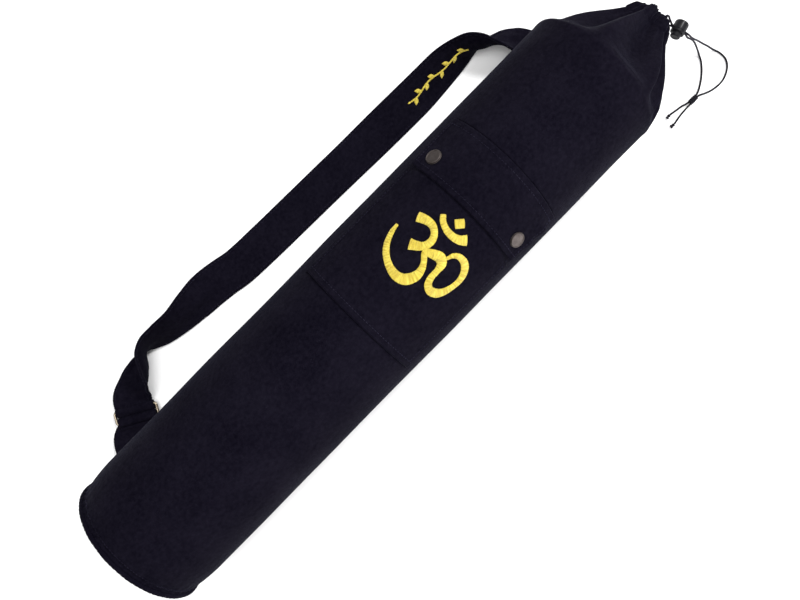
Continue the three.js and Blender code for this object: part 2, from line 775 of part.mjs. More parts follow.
// A round bar along the ring's long side, for a strap's eye and for the hole through it
function barSolid(side, radius, length, sides) {
  const bar = new THREE.CylinderGeometry(radius, radius, length, sides);
  bar.rotateZ(-Math.PI / 2);
  bar.rotateZ(degToRad(RING_TURN));
  bar.translate(...barMiddle(side).toArray());
  return toSolid(bar);
}

// The tube's outside with a small gap, for cutting the straps' ends to it
function tubeCutter() {
  const sides = 96;
  const clear = 1 / Math.cos(Math.PI / sides);
  const neckRows = 6;
  const stations = [
    ...SWELL_SHARES.map((share) => share * BASE_SWELL),
    ...NECK_PROFILE.slice(0, neckRows).map((row) => BODY_LENGTH + row.along * NECK_LENGTH),
  ];
  const corners = stations.map((s) => [(ridgeRadius(s) + GAP) * clear, s]);
  const first = [0, stations[0]];
  const last = [0, stations[stations.length - 1]];
  const cutter = turned([first, ...corners, last], sides);
  cutter.rotateZ(-Math.PI / 2);
  cutter.translate(-BAG_LENGTH / 2, 0, AXIS_HEIGHT);
  return toSolid(cutter);
}

const EYE_SIDES = 14;
const HOLE_RADIUS = WIRE_RADIUS + GAP;
const TUBE_CUTTER = tubeCutter();

// A band whose one end is cut to the tube and whose other end loops over the ring's bar
function strapWithEye(path, steps, side) {
  const cloth = toSolid(band(path, steps, BAND_WIDTH));
  const eye = barSolid(side, EYE_RADIUS, EYE_LENGTH, EYE_SIDES);
  const hole = barSolid(side, HOLE_RADIUS, 2 * STRAP_WIDTH, EYE_SIDES);
  return toGeometry(cloth.add(eye).subtract(hole).subtract(TUBE_CUTTER));
}
add('strap_band', strapWithEye(STRAP_PATH, STRAP_STEPS, -1), BODY_CLOTH);

// Tab between the ring and the tube

const TAB_SEAM = seamRow(TAB_ALONG, SEAM_SHARE, 0);
const TAB_BEND_X = lerp(TAB_SEAM.x, RING_PLACE.x, TAB_BEND.along);
const TAB_BEND_Y = lerp(TAB_SEAM.y, RING_PLACE.y, TAB_BEND.out);
const TAB_PATH = [
  beforeEye(1, 0, 0),
  beforeEye(1, EYE_RUN, 0),
  strapRow(TAB_BEND_X, TAB_BEND_Y, 0, TAB_BEND.lift),
  TAB_SEAM,
  seamRow(TAB_ALONG, SEWN_SHARE, 0),
];
const TAB_STEPS = 10;
add('strap_tab', strapWithEye(TAB_PATH, TAB_STEPS, 1), BODY_CLOTH);

// Ring

// A closed loop of wire round a path of places in the ring's plane
function wireLoop(path, radius, sides) {
  const positions = [];
  const faces = [];
  path.forEach((place, i) => {
    const before = path[(i + path.length - 1) % path.length];
    const after = path[(i + 1) % path.length];
    const heading = after.clone().sub(before).normalize();
    const sideways = new THREE.Vector3(heading.y, -heading.x, 0);
    for (let j = 0; j < sides; j += 1) {
      const turn = 2 * Math.PI * j / sides;
      const out = radius * Math.cos(turn);
      positions.push(place.x + sideways.x * out, place.y + sideways.y * out, radius * Math.sin(turn));
      const a = i * sides + j;
      const b = i * sides + (j + 1) % sides;
      const c = ((i + 1) % path.length) * sides + (j + 1) % sides;
      const d = ((i + 1) % path.length) * sides + j;
      faces.push(a, b, c, a, c, d);
    }
  });
  return facingOut(positions, faces);
}

function strapRing() {
  const bend = RING_CORNER - WIRE_RADIUS;
  const reach = [RING_LENGTH / 2 - RING_CORNER, RING_WIDTH / 2 - RING_CORNER];
  const corners = [[1, 1, 0], [-1, 1, 90], [-1, -1, 180], [1, -1, 270]];
  const path = corners.flatMap(([sideX, sideY, from]) => [0, 30, 60, 90].map((turn) => {
    const angle = degToRad(from + turn);
    const x = sideX * reach[0] + bend * Math.cos(angle);
    const y = sideY * reach[1] + bend * Math.sin(angle);
    return new THREE.Vector3(x, y, 0);
  }));
  return wireLoop(path, WIRE_RADIUS, 8);
}
const ring = add('strap_ring', strapRing(), RING_METAL);
ring.position.copy(RING_PLACE);
ring.rotation.z = degToRad(RING_TURN);

// Garland embroidered on the strap

// Distances along the strap's middle line, at even shares of its path
const STRAP_DISTANCES = Array.from({ length: 401 }, () => 0);
for (let i = 1; i < STRAP_DISTANCES.length; i += 1) {
  const [before, here] = [i - 1, i].map((k) => onBand(STRAP_PATH, k / (STRAP_DISTANCES.length - 1), 0, 0));
  STRAP_DISTANCES[i] = STRAP_DISTANCES[i - 1] + here.distanceTo(before);
}

// The share of the strap's path at a distance along it
function strapShare(distance) {
  let i = 0;
  while (i < STRAP_DISTANCES.length - 2 && STRAP_DISTANCES[i + 1] < distance) {
    i += 1;
  }
  const part = (distance - STRAP_DISTANCES[i]) / (STRAP_DISTANCES[i + 1] - STRAP_DISTANCES[i]);
  return (i + part) / (STRAP_DISTANCES.length - 1);
}

function garland() {
  const onStrap = (u, v, height) => (
    onBand(STRAP_PATH, strapShare(GARLAND_FROM_SEAM + u), v, STRAP_CLOTH / 2 + height)
  );
  const swing = GARLAND_WIDTH * GARLAND_SHARES.swing;
  const stemWidth = GARLAND_WIDTH * GARLAND_SHARES.stem;
  const stemAt = (share) => swing * Math.sin(share * GARLAND_WAVES * 2 * Math.PI);
  const stemRows = 8;
  const stem = Array.from({ length: stemRows + 1 }, (_, i) => (
    { u: i / stemRows * GARLAND_LENGTH, v: stemAt(i / stemRows), width: stemWidth }
  ));
  const leafShape = [
    { reach: 0, width: 0.2 },
    { reach: 0.5, width: 1 },
    { reach: 1, width: 0.08 },
  ];
  const leafLength = GARLAND_WIDTH * GARLAND_SHARES.leafLength;
  const leafWidth = GARLAND_WIDTH * GARLAND_SHARES.leafWidth;
  const lean = degToRad(LEAF_LEAN);
  const leaves = GARLAND_LEAVES.map(({ at, side }) => leafShape.map(({ reach, width }) => ({
    u: at * GARLAND_LENGTH + reach * leafLength * Math.cos(lean),
    v: stemAt(at) + side * reach * leafLength * Math.sin(lean),
    width: width * leafWidth,
  })));
  return satinFigure([stem, ...leaves], onStrap);
}
add('strap_embroidery', garland(), THREAD);

// Cord lock: its own axis runs from the button's end to the closed end, and the strands cross it

const lock = new THREE.Group();
lock.position.set(...LOCK_PLACE);
lock.rotation.z = degToRad(LOCK_TURN);
bag.add(lock);

const CORD_HOLE_WIDTH = 2 * (CORD_RADIUS + LOCK_CLEARANCE);
const CORD_HOLE_HEIGHT = STRANDS_APART + CORD_HOLE_WIDTH;

// A piece turned about the lock's axis, from [radius, distance from the open end] corners
function turnedOnLock(corners, sides) {
  const piece = turned(corners, sides);
  piece.rotateZ(-Math.PI / 2);
  piece.translate(-LOCK_HOLE_AT, 0, 0);
  return toSolid(piece);
}

// A hole across the lock for the pair of strands, from one distance along its axis to another
function crossHole(from, to) {
  const box = new THREE.BoxGeometry(to - from, 4 * LOCK_RADIUS, CORD_HOLE_HEIGHT);
  box.translate((from + to) / 2 - LOCK_HOLE_AT, 0, 0);
  return toSolid(box);
}

const LOCK_SIDES = 20;

function lockBody() {
  const round = 1.2;
  const bore = BUTTON_RADIUS + GAP;
  const depth = LOCK_LENGTH - LOCK_END_WALL;
  const barrel = turnedOnLock([
    [0, depth],
    [bore, depth],
    [bore, 0],
    [LOCK_RADIUS - round / 2, 0],
    [LOCK_RADIUS, round / 2],
    [LOCK_RADIUS, LOCK_LENGTH - round],
    [LOCK_RADIUS - round, LOCK_LENGTH],
    [0, LOCK_LENGTH],
  ], LOCK_SIDES);
  const half = CORD_HOLE_WIDTH / 2;
  return toGeometry(barrel.subtract(crossHole(LOCK_HOLE_AT - half, LOCK_HOLE_AT + half)));
}

function lockButton() {
  const round = 1;
  const half = CORD_HOLE_WIDTH / 2;
  const slotEnd = LOCK_HOLE_AT + half;
  const tip = -BUTTON_STANDS_OUT;
  const plunger = turnedOnLock([
    [0, tip],
    [BUTTON_RADIUS - round, tip],
    [BUTTON_RADIUS, tip + round],
    [BUTTON_RADIUS, slotEnd + BUTTON_END_BAR],
    [0, slotEnd + BUTTON_END_BAR],
  ], LOCK_SIDES);
  return toGeometry(plunger.subtract(crossHole(LOCK_HOLE_AT - half - BUTTON_TRAVEL, slotEnd)));
}

lock.add(add('cord_lock_body', lockBody(), LOCK_PLASTIC));
lock.add(add('cord_lock_button', lockButton(), LOCK_PLASTIC));

// Drawcord and its knots

function cordTube(points) {
  const route = new THREE.CatmullRomCurve3(points.map((p) => new THREE.Vector3(...p)));
  const section = new THREE.Shape();
  for (let i = 0; i < CORD_SIDES; i += 1) {
    const turn = 2 * Math.PI * i / CORD_SIDES;
    const corner = [CORD_RADIUS * Math.cos(turn), CORD_RADIUS * Math.sin(turn)];
    if (i === 0) {
      section.moveTo(...corner);
    } else {
      section.lineTo(...corner);
    }
  }
  const steps = Math.ceil(route.getLength() / CORD_STEP);
  return merged(new THREE.ExtrudeGeometry(section, { steps, extrudePath: route, bevelEnabled: false }));
}

for (const [name, points] of Object.entries(CORD_ROUTES)) {
  add(name, cordTube(points), CORD_FIBRE);
}

// A knot of three coils side by side, along X
function cordKnot() {
  const coils = 3;
  const coilLength = KNOT_LENGTH / coils;
  const waist = KNOT_RADIUS * 0.72;
  const bevel = 0.3;
  const sides = 10;
  const corners = [[0, 0]];
  for (let i = 0; i < coils; i += 1) {
    corners.push([waist, i * coilLength]);
    corners.push([KNOT_RADIUS, (i + bevel) * coilLength]);
    corners.push([KNOT_RADIUS, (i + 1 - bevel) * coilLength]);
  }
  corners.push([waist, KNOT_LENGTH]);
  corners.push([0, KNOT_LENGTH]);
  const knot = turned(corners, sides);
  knot.rotateZ(Math.PI / 2);
  return knot;
}

const innerEnd = CORD_ROUTES.cord_strand_inner.at(-1);
const outerEnd = CORD_ROUTES.cord_strand_outer.at(-1);
const knot = add('cord_knot', cordKnot(), CORD_FIBRE);
knot.position.set(innerEnd[0] - GAP, (innerEnd[1] + outerEnd[1]) / 2, KNOT_RADIUS + GAP / 2);

for (const side of ['inner', 'outer']) {
  const end = CORD_ROUTES[`cord_tail_${side}`].at(-1);
  const bead = new THREE.SphereGeometry(END_KNOT_RADIUS, 10, 6);
  const endKnot = add(`tail_knot_${side}`, merged(bead), CORD_FIBRE);
  endKnot.position.set(end[0] - GAP - END_KNOT_RADIUS, end[1], END_KNOT_RADIUS + GAP / 2);
}

export default bag;
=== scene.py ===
"""A yoga mat bag lying on a pale floor: a round cloth tube with a piped base and a gathered mouth, a pocket
with a snapped flap and an embroidered sign, a shoulder strap with its ring, and a drawcord with its lock.

Shapes are worked out in millimetres and put into the meshes in metres. X runs along the bag to its mouth,
+Y is the strap's side and z = 0 is the floor. `along` counts from the base and `angle` round the tube in
degrees from the top, growing toward -Y.
"""
import math

import bmesh
import bpy
import numpy as np
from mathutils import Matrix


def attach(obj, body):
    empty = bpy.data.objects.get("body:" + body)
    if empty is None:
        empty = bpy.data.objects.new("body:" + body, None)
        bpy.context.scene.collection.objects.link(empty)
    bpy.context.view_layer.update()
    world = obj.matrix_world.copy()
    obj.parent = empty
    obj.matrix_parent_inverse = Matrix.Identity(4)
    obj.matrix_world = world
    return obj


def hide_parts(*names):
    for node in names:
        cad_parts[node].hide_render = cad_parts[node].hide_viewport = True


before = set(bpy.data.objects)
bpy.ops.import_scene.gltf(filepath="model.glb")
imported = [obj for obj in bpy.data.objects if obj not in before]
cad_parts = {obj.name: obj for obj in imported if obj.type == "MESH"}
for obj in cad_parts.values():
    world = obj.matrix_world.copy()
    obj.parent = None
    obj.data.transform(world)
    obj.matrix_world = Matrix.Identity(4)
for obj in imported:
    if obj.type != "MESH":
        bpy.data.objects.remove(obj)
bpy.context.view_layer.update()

MM = 0.001

# Main sizes, as the part's source has them
TUBE_RADIUS = 74.0
BODY_LENGTH = 621.0
NECK_LENGTH = 89.0
BAG_LENGTH = BODY_LENGTH + NECK_LENGTH
CLOTH = 1.5
PANEL_CLOTH = 1.2
GAP = 0.3
AXIS_HEIGHT = TUBE_RADIUS - 1.5
BASE_SHARE = 0.95
BASE_SWELL = 34.0
BASE_DOME = 2.0
PIPING_RADIUS = 2.4
PIPING_OVERLAP = 0.15
PUCKERS = 43
POCKET_FOOT = 299.0
POCKET_LENGTH = 179.0
FLAP_HEM = 435.0
FLAP_LENGTH = 57.0
POCKET_HEM = 7.0
FLAP_FOLD = 6.0
FLAP_TOP_SEAM = 5.2
SEAM_IN = 1.6
PANEL_WIDTH = 151.0
PANEL_TURN = 2.5
CORNER_LIFT = 9.0
SNAP_RADIUS = 7.5
SNAP_HEIGHT = 2.0
SNAP_APART = 114.0
SNAP_FROM_HEM = 15.5
SIGN_SIZE = 82.0
SIGN_FROM_FOOT = 88.0
SIGN_ASIDE = 5.0
STITCH_HEIGHT = 0.9
STRAP_WIDTH = 42.0
STRAP_CLOTH = 3.0
WIRE_RADIUS = 1.5
EYE_RADIUS = WIRE_RADIUS + GAP + 2.4
RING_LENGTH = 49.0
RING_WIDTH = 16.0
RING_CORNER = 4.0
RING_TURN = math.radians(-30.1)
SEAM_ANGLE = -133.0
SEWN_SHARE = 0.86
SEAM_SHARE = 1.02
TAB_ALONG = 24.0
GARLAND_LENGTH = 84.0
GARLAND_WIDTH = 13.0
GARLAND_FROM_SEAM = 108.0
CORD_RADIUS = 1.0
KNOT_LENGTH = 11.5
KNOT_BULK = 3.2
KNOT_PITCH = 2.1
END_KNOT_RADIUS = 1.9
END_KNOT_CORD = 0.72
LOCK_RADIUS = 7.0
LOCK_LENGTH = 12.0
LOCK_HOLE_AT = 4.3
LOCK_TURN = math.radians(15)
LOCK_PLACE = np.array([366.3, -27.5, 66.0])
BUTTON_RADIUS = 5.0
BUTTON_STANDS_OUT = 4.5
BUTTON_TRAVEL = 2.5
STRANDS_APART = 2.4
HOLE_SPARE = 0.5

PANEL_HALF_ANGLE = math.degrees(PANEL_WIDTH / 2 / TUBE_RADIUS)
POCKET_RADIUS = TUBE_RADIUS + GAP + PANEL_CLOTH
FLAP_RADIUS = POCKET_RADIUS + GAP + PANEL_CLOTH
SNAP_ANGLE = math.degrees(SNAP_APART / 2 / FLAP_RADIUS)
LIFT_ANGLE = math.degrees((SNAP_APART / 2 + SNAP_RADIUS) / FLAP_RADIUS)
BAND_WIDTH = min(STRAP_WIDTH, RING_LENGTH - 4 * WIRE_RADIUS - 4 * GAP)
RING_PLACE = np.array([53.2 - BAG_LENGTH / 2, 99.1, EYE_RADIUS + GAP / 2])

# The drawcord's strands and tails: the points that they follow in metres, from the mouth, through the lock
# and the knot, to the end knots
CORD_POINTS = {
    "drawcord_inner": [
        (0.3558, -0.0128, 0.0799), (0.3582, -0.0132, 0.0788), (0.3598, -0.0152, 0.0724),
        (0.3620, -0.0176, 0.0670), (0.3644, -0.0201, 0.0651), (0.3652, -0.0236, 0.0648),
        (0.3663, -0.0275, 0.0648), (0.36747, -0.03185, 0.0648), (0.3684, -0.0353, 0.0644),
        (0.3716, -0.0382, 0.0575), (0.3770, -0.0406, 0.0480), (0.3840, -0.0442, 0.0380),
        (0.3906, -0.0483, 0.0265), (0.3949, -0.0534, 0.0160), (0.3974, -0.0586, 0.0075),
        (0.3978, -0.0634, 0.0024), (0.3955, -0.0690, 0.00125), (0.3879, -0.0777, 0.00125),
        (0.3765, -0.0864, 0.0013), (0.3662, -0.0910, 0.0022), (0.3541, -0.0910, 0.0022),
        (0.3454, -0.0886, 0.00125), (0.3380, -0.0874, 0.00125), (0.3306, -0.0860, 0.00125),
    ],
    "drawcord_outer": [
        (0.3558, -0.0095, 0.0838), (0.3586, -0.0099, 0.0829), (0.3622, -0.0118, 0.0774),
        (0.3642, -0.0152, 0.0708), (0.3643, -0.0203, 0.0674), (0.3652, -0.0236, 0.0672),
        (0.3663, -0.0275, 0.0672), (0.36747, -0.03185, 0.0672), (0.3686, -0.0360, 0.0670),
        (0.3724, -0.0402, 0.0610), (0.3778, -0.0429, 0.0515), (0.3844, -0.0464, 0.0415),
        (0.3926, -0.0508, 0.0295), (0.4012, -0.0570, 0.0170), (0.4084, -0.0632, 0.0075),
        (0.4126, -0.0696, 0.0024), (0.4156, -0.0768, 0.00125), (0.4158, -0.0855, 0.00125),
        (0.4122, -0.0924, 0.00125), (0.4031, -0.0987, 0.00125), (0.3932, -0.1010, 0.00125),
        (0.3808, -0.0995, 0.00125), (0.3730, -0.0966, 0.0013), (0.3662, -0.0935, 0.0022),
        (0.3541, -0.0935, 0.0022), (0.3445, -0.0940, 0.00125), (0.3370, -0.0946, 0.00125),
        (0.3270, -0.0963, 0.00125),
    ],
}

# The neck past the rim: share of its length, and the ridges and hollows as shares of the tube's radius
NECK_PROFILE = np.array([
    (0, 1, 1), (0.05, 0.992, 0.95), (0.12, 0.975, 0.8), (0.23, 0.935, 0.64), (0.34, 0.858, 0.52),
    (0.45, 0.765, 0.42), (0.56, 0.655, 0.34), (0.67, 0.54, 0.27), (0.78, 0.435, 0.21),
    (0.89, 0.36, 0.17), (0.96, 0.32, 0.15), (1, 0.23, 0.14),
])

# The gathers: each ridge's angle, its reach as a share of the profile, and the depth of the hollow after it
PLEATS = np.array([
    (-75, 0.87, 1), (-17, 0.97, 0.85), (40, 1, 0.5), (60, 1, 0.45), (77, 1, 0.7), (103, 1, 0.7),
    (128, 1, 0.65), (153, 1, 0.7), (180, 1, 0.7), (207, 1, 0.65), (232, 1, 0.7), (258, 0.9, 0.7),
])

# Small creases of the neck: angle, share of the neck where it starts, depth in mm, half width in degrees
NECK_CREASES = np.array([
    (-66, 0.35, 1.6, 4.0), (-56, 0.55, 1.4, 3.0), (-47, 0.15, 1.2, 3.5), (-37, 0.45, 1.8, 3.0),
    (-27, 0.6, 1.2, 2.6), (-20, 0.35, -0.8, 2.6), (-13, 0.5, 1.5, 2.4), (-4, 0.25, 1.0, 3.2),
    (4, 0.55, 1.6, 2.6), (12, 0.4, -1.2, 3.0), (19, 0.3, 1.4, 3.0), (27, 0.1, -1.6, 3.4),
    (33, 0.45, 1.2, 2.4), (45, 0.2, 1.2, 2.0), (49, 0.1, -1.3, 2.2), (54, 0.25, 1.2, 1.8),
    (64, 0.05, -1.0, 1.8), (69, 0.2, 1.6, 2.0), (73, 0.5, -0.8, 1.6), (83, 0.15, 1.5, 2.4),
    (90, 0.3, -1.3, 2.6), (97, 0.2, 1.4, 2.4), (110, 0.35, 1.4, 2.6), (117, 0.2, -1.2, 2.6),
    (136, 0.3, 1.5, 2.8), (144, 0.2, -1.2, 3.0), (161, 0.35, 1.5, 3.0), (170, 0.2, -1.3, 3.2),
    (189, 0.3, 1.5, 2.8), (197, 0.2, -1.2, 3.0), (215, 0.3, 1.5, 2.8), (224, 0.2, -1.2, 3.0),
    (240, 0.3, 1.5, 2.8), (249, 0.2, -1.2, 3.0), (267, 0.35, 1.5, 3.2), (276, 0.25, -1.2, 3.0),
])

# Strokes of the sign in hundredths of its size from its middle: round the tube, along it, and width
SIGN_STROKES = {
    "sign_strokes": [
        [(-37.4, 17.3, 11.3), (-31.3, 19.9, 10.4), (-23.9, 21.6, 9), (-17.3, 20.6, 7.9),
         (-11.5, 16.2, 7.4), (-8.5, 10, 7.9), (-8.9, 2.8, 8.3), (-12.4, -2.8, 9), (-18.4, -7.1, 10.7),
         (-22.8, -9.5, 12.2)],
        [(-48, -3.5, 3.5), (-46.5, -13, 5.5), (-42, -24, 6.5), (-35.5, -32.5, 7.2), (-27.5, -38.5, 7.5),
         (-18, -42.5, 8.8), (-9, -43.5, 10.4), (-1, -40.5, 11.8), (4, -34, 11.4), (6, -26.5, 9.8),
         (4.8, -19, 7.6), (1.2, -12.5, 6.2), (-3.7, -6.7, 6.6), (-6.1, -1.3, 7)],
        [(-6, -4.5, 7), (2.5, 0, 10), (10.5, 2.6, 12), (16.5, -1, 10.5), (18.3, -9, 7), (18.8, -19, 7.3),
         (22, -26.5, 8.2), (28.5, -29.5, 9.4), (36, -26.5, 10), (41.5, -19.5, 8.3), (45, -9, 7.2),
         (45.8, 2, 7.8), (42, 11.5, 9), (34.5, 17.5, 8.6), (25.5, 18, 6.6), (19.5, 14, 5.2),
         (16.5, 7, 3.4)],
    ],
    "sign_crescent": [
        [(-19, 37.5, 6), (-14.5, 32.5, 6.6), (-8.5, 29.3, 7), (-1.5, 27.8, 7.7), (6, 28.2, 8.4),
         (13, 31, 10), (18.3, 35.8, 11.8)],
    ],
    "sign_dot": [[(-2.9, 39.0, 9.8), (3.5, 46.4, 9.8)]],
}
SIGN_NODES = {"sign_strokes": "om_sign", "sign_crescent": "om_crescent", "sign_dot": "om_bindu"}

# The strap's middle line from the seam near the mouth to the ring: along as a share of half the bag's
# length, out as a share of the tube's radius, roll in degrees, and lift as a share of the strap's width
STRAP_LIE = [
    (0.766, 1.001, 176, 0.06), (0.748, 1.154, 156, 0), (0.721, 1.297, 132, 0), (0.695, 1.412, 114, 0),
    (0.666, 1.518, 90, 0), (0.635, 1.595, 70, 0), (0.597, 1.632, 54, 0), (0.544, 1.654, 38, 0),
    (0.479, 1.654, 29, 0), (0.417, 1.659, 20, 0), (0.296, 1.678, 12, 0), (0.175, 1.701, 2, 0),
    (0.054, 1.72, 0, 0), (-0.068, 1.735, 0, 0), (-0.189, 1.75, 0, 0), (-0.31, 1.776, 0, 0),
    (-0.372, 1.824, 4, 0), (-0.431, 1.846, 18, 0), (-0.49, 1.83, 38, 0), (-0.552, 1.816, 53, 0),
    (-0.611, 1.846, 60, 0), (-0.654, 1.877, 72, 0), (-0.69, 1.857, 92, 0), (-0.725, 1.777, 120, 0),
    (-0.759, 1.689, 146, 0), (-0.793, 1.619, 168, 0),
]


# Numbers

def blend01(x, start, end):
    """0 before start, 1 after end, and the cubic 3t^2 - 2t^3 between them."""
    t = np.clip((np.asarray(x, float) - start) / (end - start), 0, 1)
    return t * t * (3 - 2 * t)


def bump_at(x, middle, half_width):
    """A bell of height 1 round the middle: exp(-((x - middle) / half_width)^2)."""
    return np.exp(-((x - middle) / half_width) ** 2)


def between(rows, share):
    """A smooth curve through a table's rows. Share 0 is the first row and 1 the last; between two rows it
    is Hermite's cubic, whose slope at a row is half the difference of the rows on its two sides."""
    rows = np.asarray(rows, float)
    place = np.clip(np.asarray(share, float), 0, 1) * (len(rows) - 1)
    i = np.minimum(place.astype(int), len(rows) - 2)
    t = (place - i)[..., None]

    def row(k):
        return rows[np.clip(k, 0, len(rows) - 1)]

    a, b = row(i), row(i + 1)
    slope_a, slope_b = (b - row(i - 1)) / 2, (row(i + 2) - a) / 2
    return ((2 * t**3 - 3 * t**2 + 1) * a + (t**3 - 2 * t**2 + t) * slope_a
            + (3 * t**2 - 2 * t**3) * b + (t**3 - t**2) * slope_b)


def even_shares(curve, spacing):
    """Shares at which a curve, a function of an array of shares, has points spaced evenly along it."""
    fine = np.linspace(0, 1, 2001)
    line = curve(fine)
    run = np.concatenate([[0], np.cumsum(np.linalg.norm(np.diff(line, axis=0), axis=1))])
    return np.interp(np.linspace(0, run[-1], max(3, int(run[-1] / spacing) + 1)), run, fine)


def waves(points, length, seed, count=7):
    """Soft unevenness from -1 to 1: the mean of sines over the points, with directions, lengths near the
    given one and phases drawn once from the seed."""
    draw = np.random.default_rng(seed)
    heading = draw.normal(size=(count, 3))
    heading /= np.linalg.norm(heading, axis=1, keepdims=True)
    rate = 2 * np.pi / (length * draw.uniform(0.6, 1.7, count))
    phase = draw.uniform(0, 2 * np.pi, count)
    return np.sin(points @ (heading * rate[:, None]).T + phase).mean(-1) * 1.6


def unit(vectors):
    """The vectors, each divided by its length."""
    return vectors / np.maximum(np.linalg.norm(vectors, axis=-1, keepdims=True), 1e-9)


# Meshes

def grid_faces(rows, columns, round_rows, round_columns):
    """The four-sided faces of a grid of rows and columns, as corner numbers and as (row, column) places."""
    i, j = np.meshgrid(np.arange(rows if round_rows else rows - 1),
                       np.arange(columns if round_columns else columns - 1), indexing="ij")
    i, j = i.ravel(), j.ravel()
    places = np.stack([np.stack([i, j]), np.stack([i, j + 1]), np.stack([i + 1, j + 1]),
                       np.stack([i + 1, j])], -1)
    corners = (places[0] % rows) * columns + places[1] % columns
    return corners, places


def cloth_lengths(grid):
    """Lengths over a grid in metres: across from the mean width of each column, along from each row."""
    across = np.roll(grid, -1, 1) - grid
    along = np.roll(grid, -1, 0) - grid
    wide = np.concatenate([[0], np.cumsum(np.linalg.norm(across, axis=-1).mean(0))])
    long = np.concatenate([[0], np.cumsum(np.linalg.norm(along, axis=-1).mean(1))])
    return wide * MM, long * MM


def new_piece(name, parts, material, replaces=(), body="bag", sharp=50):
    """One closed mesh piece from grids in mm, each with whether its rows and its columns run round. Its UV
    map holds lengths on the cloth in metres, across and along."""
    points, faces, maps = [], [], []
    start = 0
    for grid, round_rows, round_columns in parts:
        rows, columns = grid.shape[:2]
        corners, places = grid_faces(rows, columns, round_rows, round_columns)
        flat = grid.reshape(-1, 3)
        a, b, c, d = (flat[corners[:, k]] for k in range(4))
        middle = flat.mean(0)
        volume = (np.einsum("ij,ij->i", a - middle, np.cross(b - middle, c - middle)).sum()
                  + np.einsum("ij,ij->i", a - middle, np.cross(c - middle, d - middle)).sum())
        wide, long = cloth_lengths(grid)
        uv = np.stack([wide[places[1]], long[places[0]]], -1)
        if volume < 0:
            corners, uv = corners[:, ::-1], uv[:, ::-1]
        points.append(flat)
        faces.append(corners + start)
        maps.append(uv)
        start += len(flat)
    points, faces, maps = np.concatenate(points), np.concatenate(faces), np.concatenate(maps)
    mesh = bpy.data.meshes.new(name)
    mesh.vertices.add(len(points))
    mesh.vertices.foreach_set("co", (points * MM).ravel())
    mesh.loops.add(faces.size)
    mesh.loops.foreach_set("vertex_index", faces.ravel())
    mesh.polygons.add(len(faces))
    mesh.polygons.foreach_set("loop_start", np.arange(0, faces.size, 4))
    mesh.update(calc_edges=True)
    mesh.uv_layers.new(name="cloth").data.foreach_set("uv", maps.reshape(-1, 2).ravel())
    work = bmesh.new()
    work.from_mesh(mesh)
    bmesh.ops.remove_doubles(work, verts=work.verts, dist=1e-7)
    bmesh.ops.dissolve_degenerate(work, edges=work.edges, dist=1e-8)
    work.to_mesh(mesh)
    work.free()
    mesh.validate()
    mesh.polygons.foreach_set("use_smooth", np.ones(len(mesh.polygons), bool))
    mesh.set_sharp_from_angle(angle=math.radians(sharp))
    mesh.materials.append(material)
    piece = bpy.data.objects.new(name, mesh)
    bpy.context.scene.collection.objects.link(piece)
    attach(piece, body)
    if replaces:
        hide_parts(*replaces)
    return piece


def cloth_sheet(top, under):
    """A closed thin piece from the grids of its two sides. Each cut edge is rounded by a line half way
    between the sides, pushed out by half the thickness."""
    def rim(a, b, inside_a, inside_b):
        middle = (a + b) / 2
        out = unit(middle - (inside_a + inside_b) / 2)
        return middle + out * np.linalg.norm(a - b, axis=-1, keepdims=True) / 2

    left = rim(top[:, 0], under[:, 0], top[:, 1], under[:, 1])[:, None]
    right = rim(top[:, -1], under[:, -1], top[:, -2], under[:, -2])[:, None]
    loop = np.concatenate([left, top, right, under[:, ::-1]], 1)
    first = rim(top[0], under[0], top[1], under[1])
    last = rim(top[-1], under[-1], top[-2], under[-2])

    def end(line, row_left, row_right):
        return np.concatenate([row_left[None], line, row_right[None], line[::-1]])[None]

    return np.concatenate([end(first, first[0], first[-1]), loop, end(last, last[0], last[-1])])


def turned_grid(profile, sides, place, axis, across):
    """A profile of (radius, height) rows turned about an axis: place + height * axis + radius * (cos t *
    across + sin t * (axis x across))."""
    profile = np.asarray(profile, float)
    turn = np.linspace(0, 2 * np.pi, sides, endpoint=False)
    other = np.cross(axis, across)
    round_it = np.cos(turn)[:, None] * across + np.sin(turn)[:, None] * other
    return place + profile[:, 1, None, None] * axis + profile[:, 0, None, None] * round_it[None]


def tube_grid(line, radius, sides):
    """A round tube along a line of points: each point plus radius * (cos t * side + sin t * up), where side
    and up are carried along the line without twist, closed at both ends by rings of no radius."""
    heading = unit(np.gradient(line, axis=0))
    side = np.zeros_like(line)
    start = np.cross(heading[0], (0, 0, 1.0) if abs(heading[0][2]) < 0.9 else (1.0, 0, 0))
    side[0] = start / np.linalg.norm(start)
    for k in range(1, len(line)):
        carried = side[k - 1] - heading[k] * (side[k - 1] @ heading[k])
        side[k] = carried / np.linalg.norm(carried)
    up = np.cross(heading, side)
    turn = np.linspace(0, 2 * np.pi, sides, endpoint=False)
    radius = np.broadcast_to(np.asarray(radius, float), (len(line),))[:, None, None]
    ring = np.cos(turn)[None, :, None] * side[:, None] + np.sin(turn)[None, :, None] * up[:, None]
    body = line[:, None] + radius * ring
    ends = [np.repeat(line[k][None, None], sides, 1) for k in (0, -1)]
    return np.concatenate([ends[0], body, ends[1]])


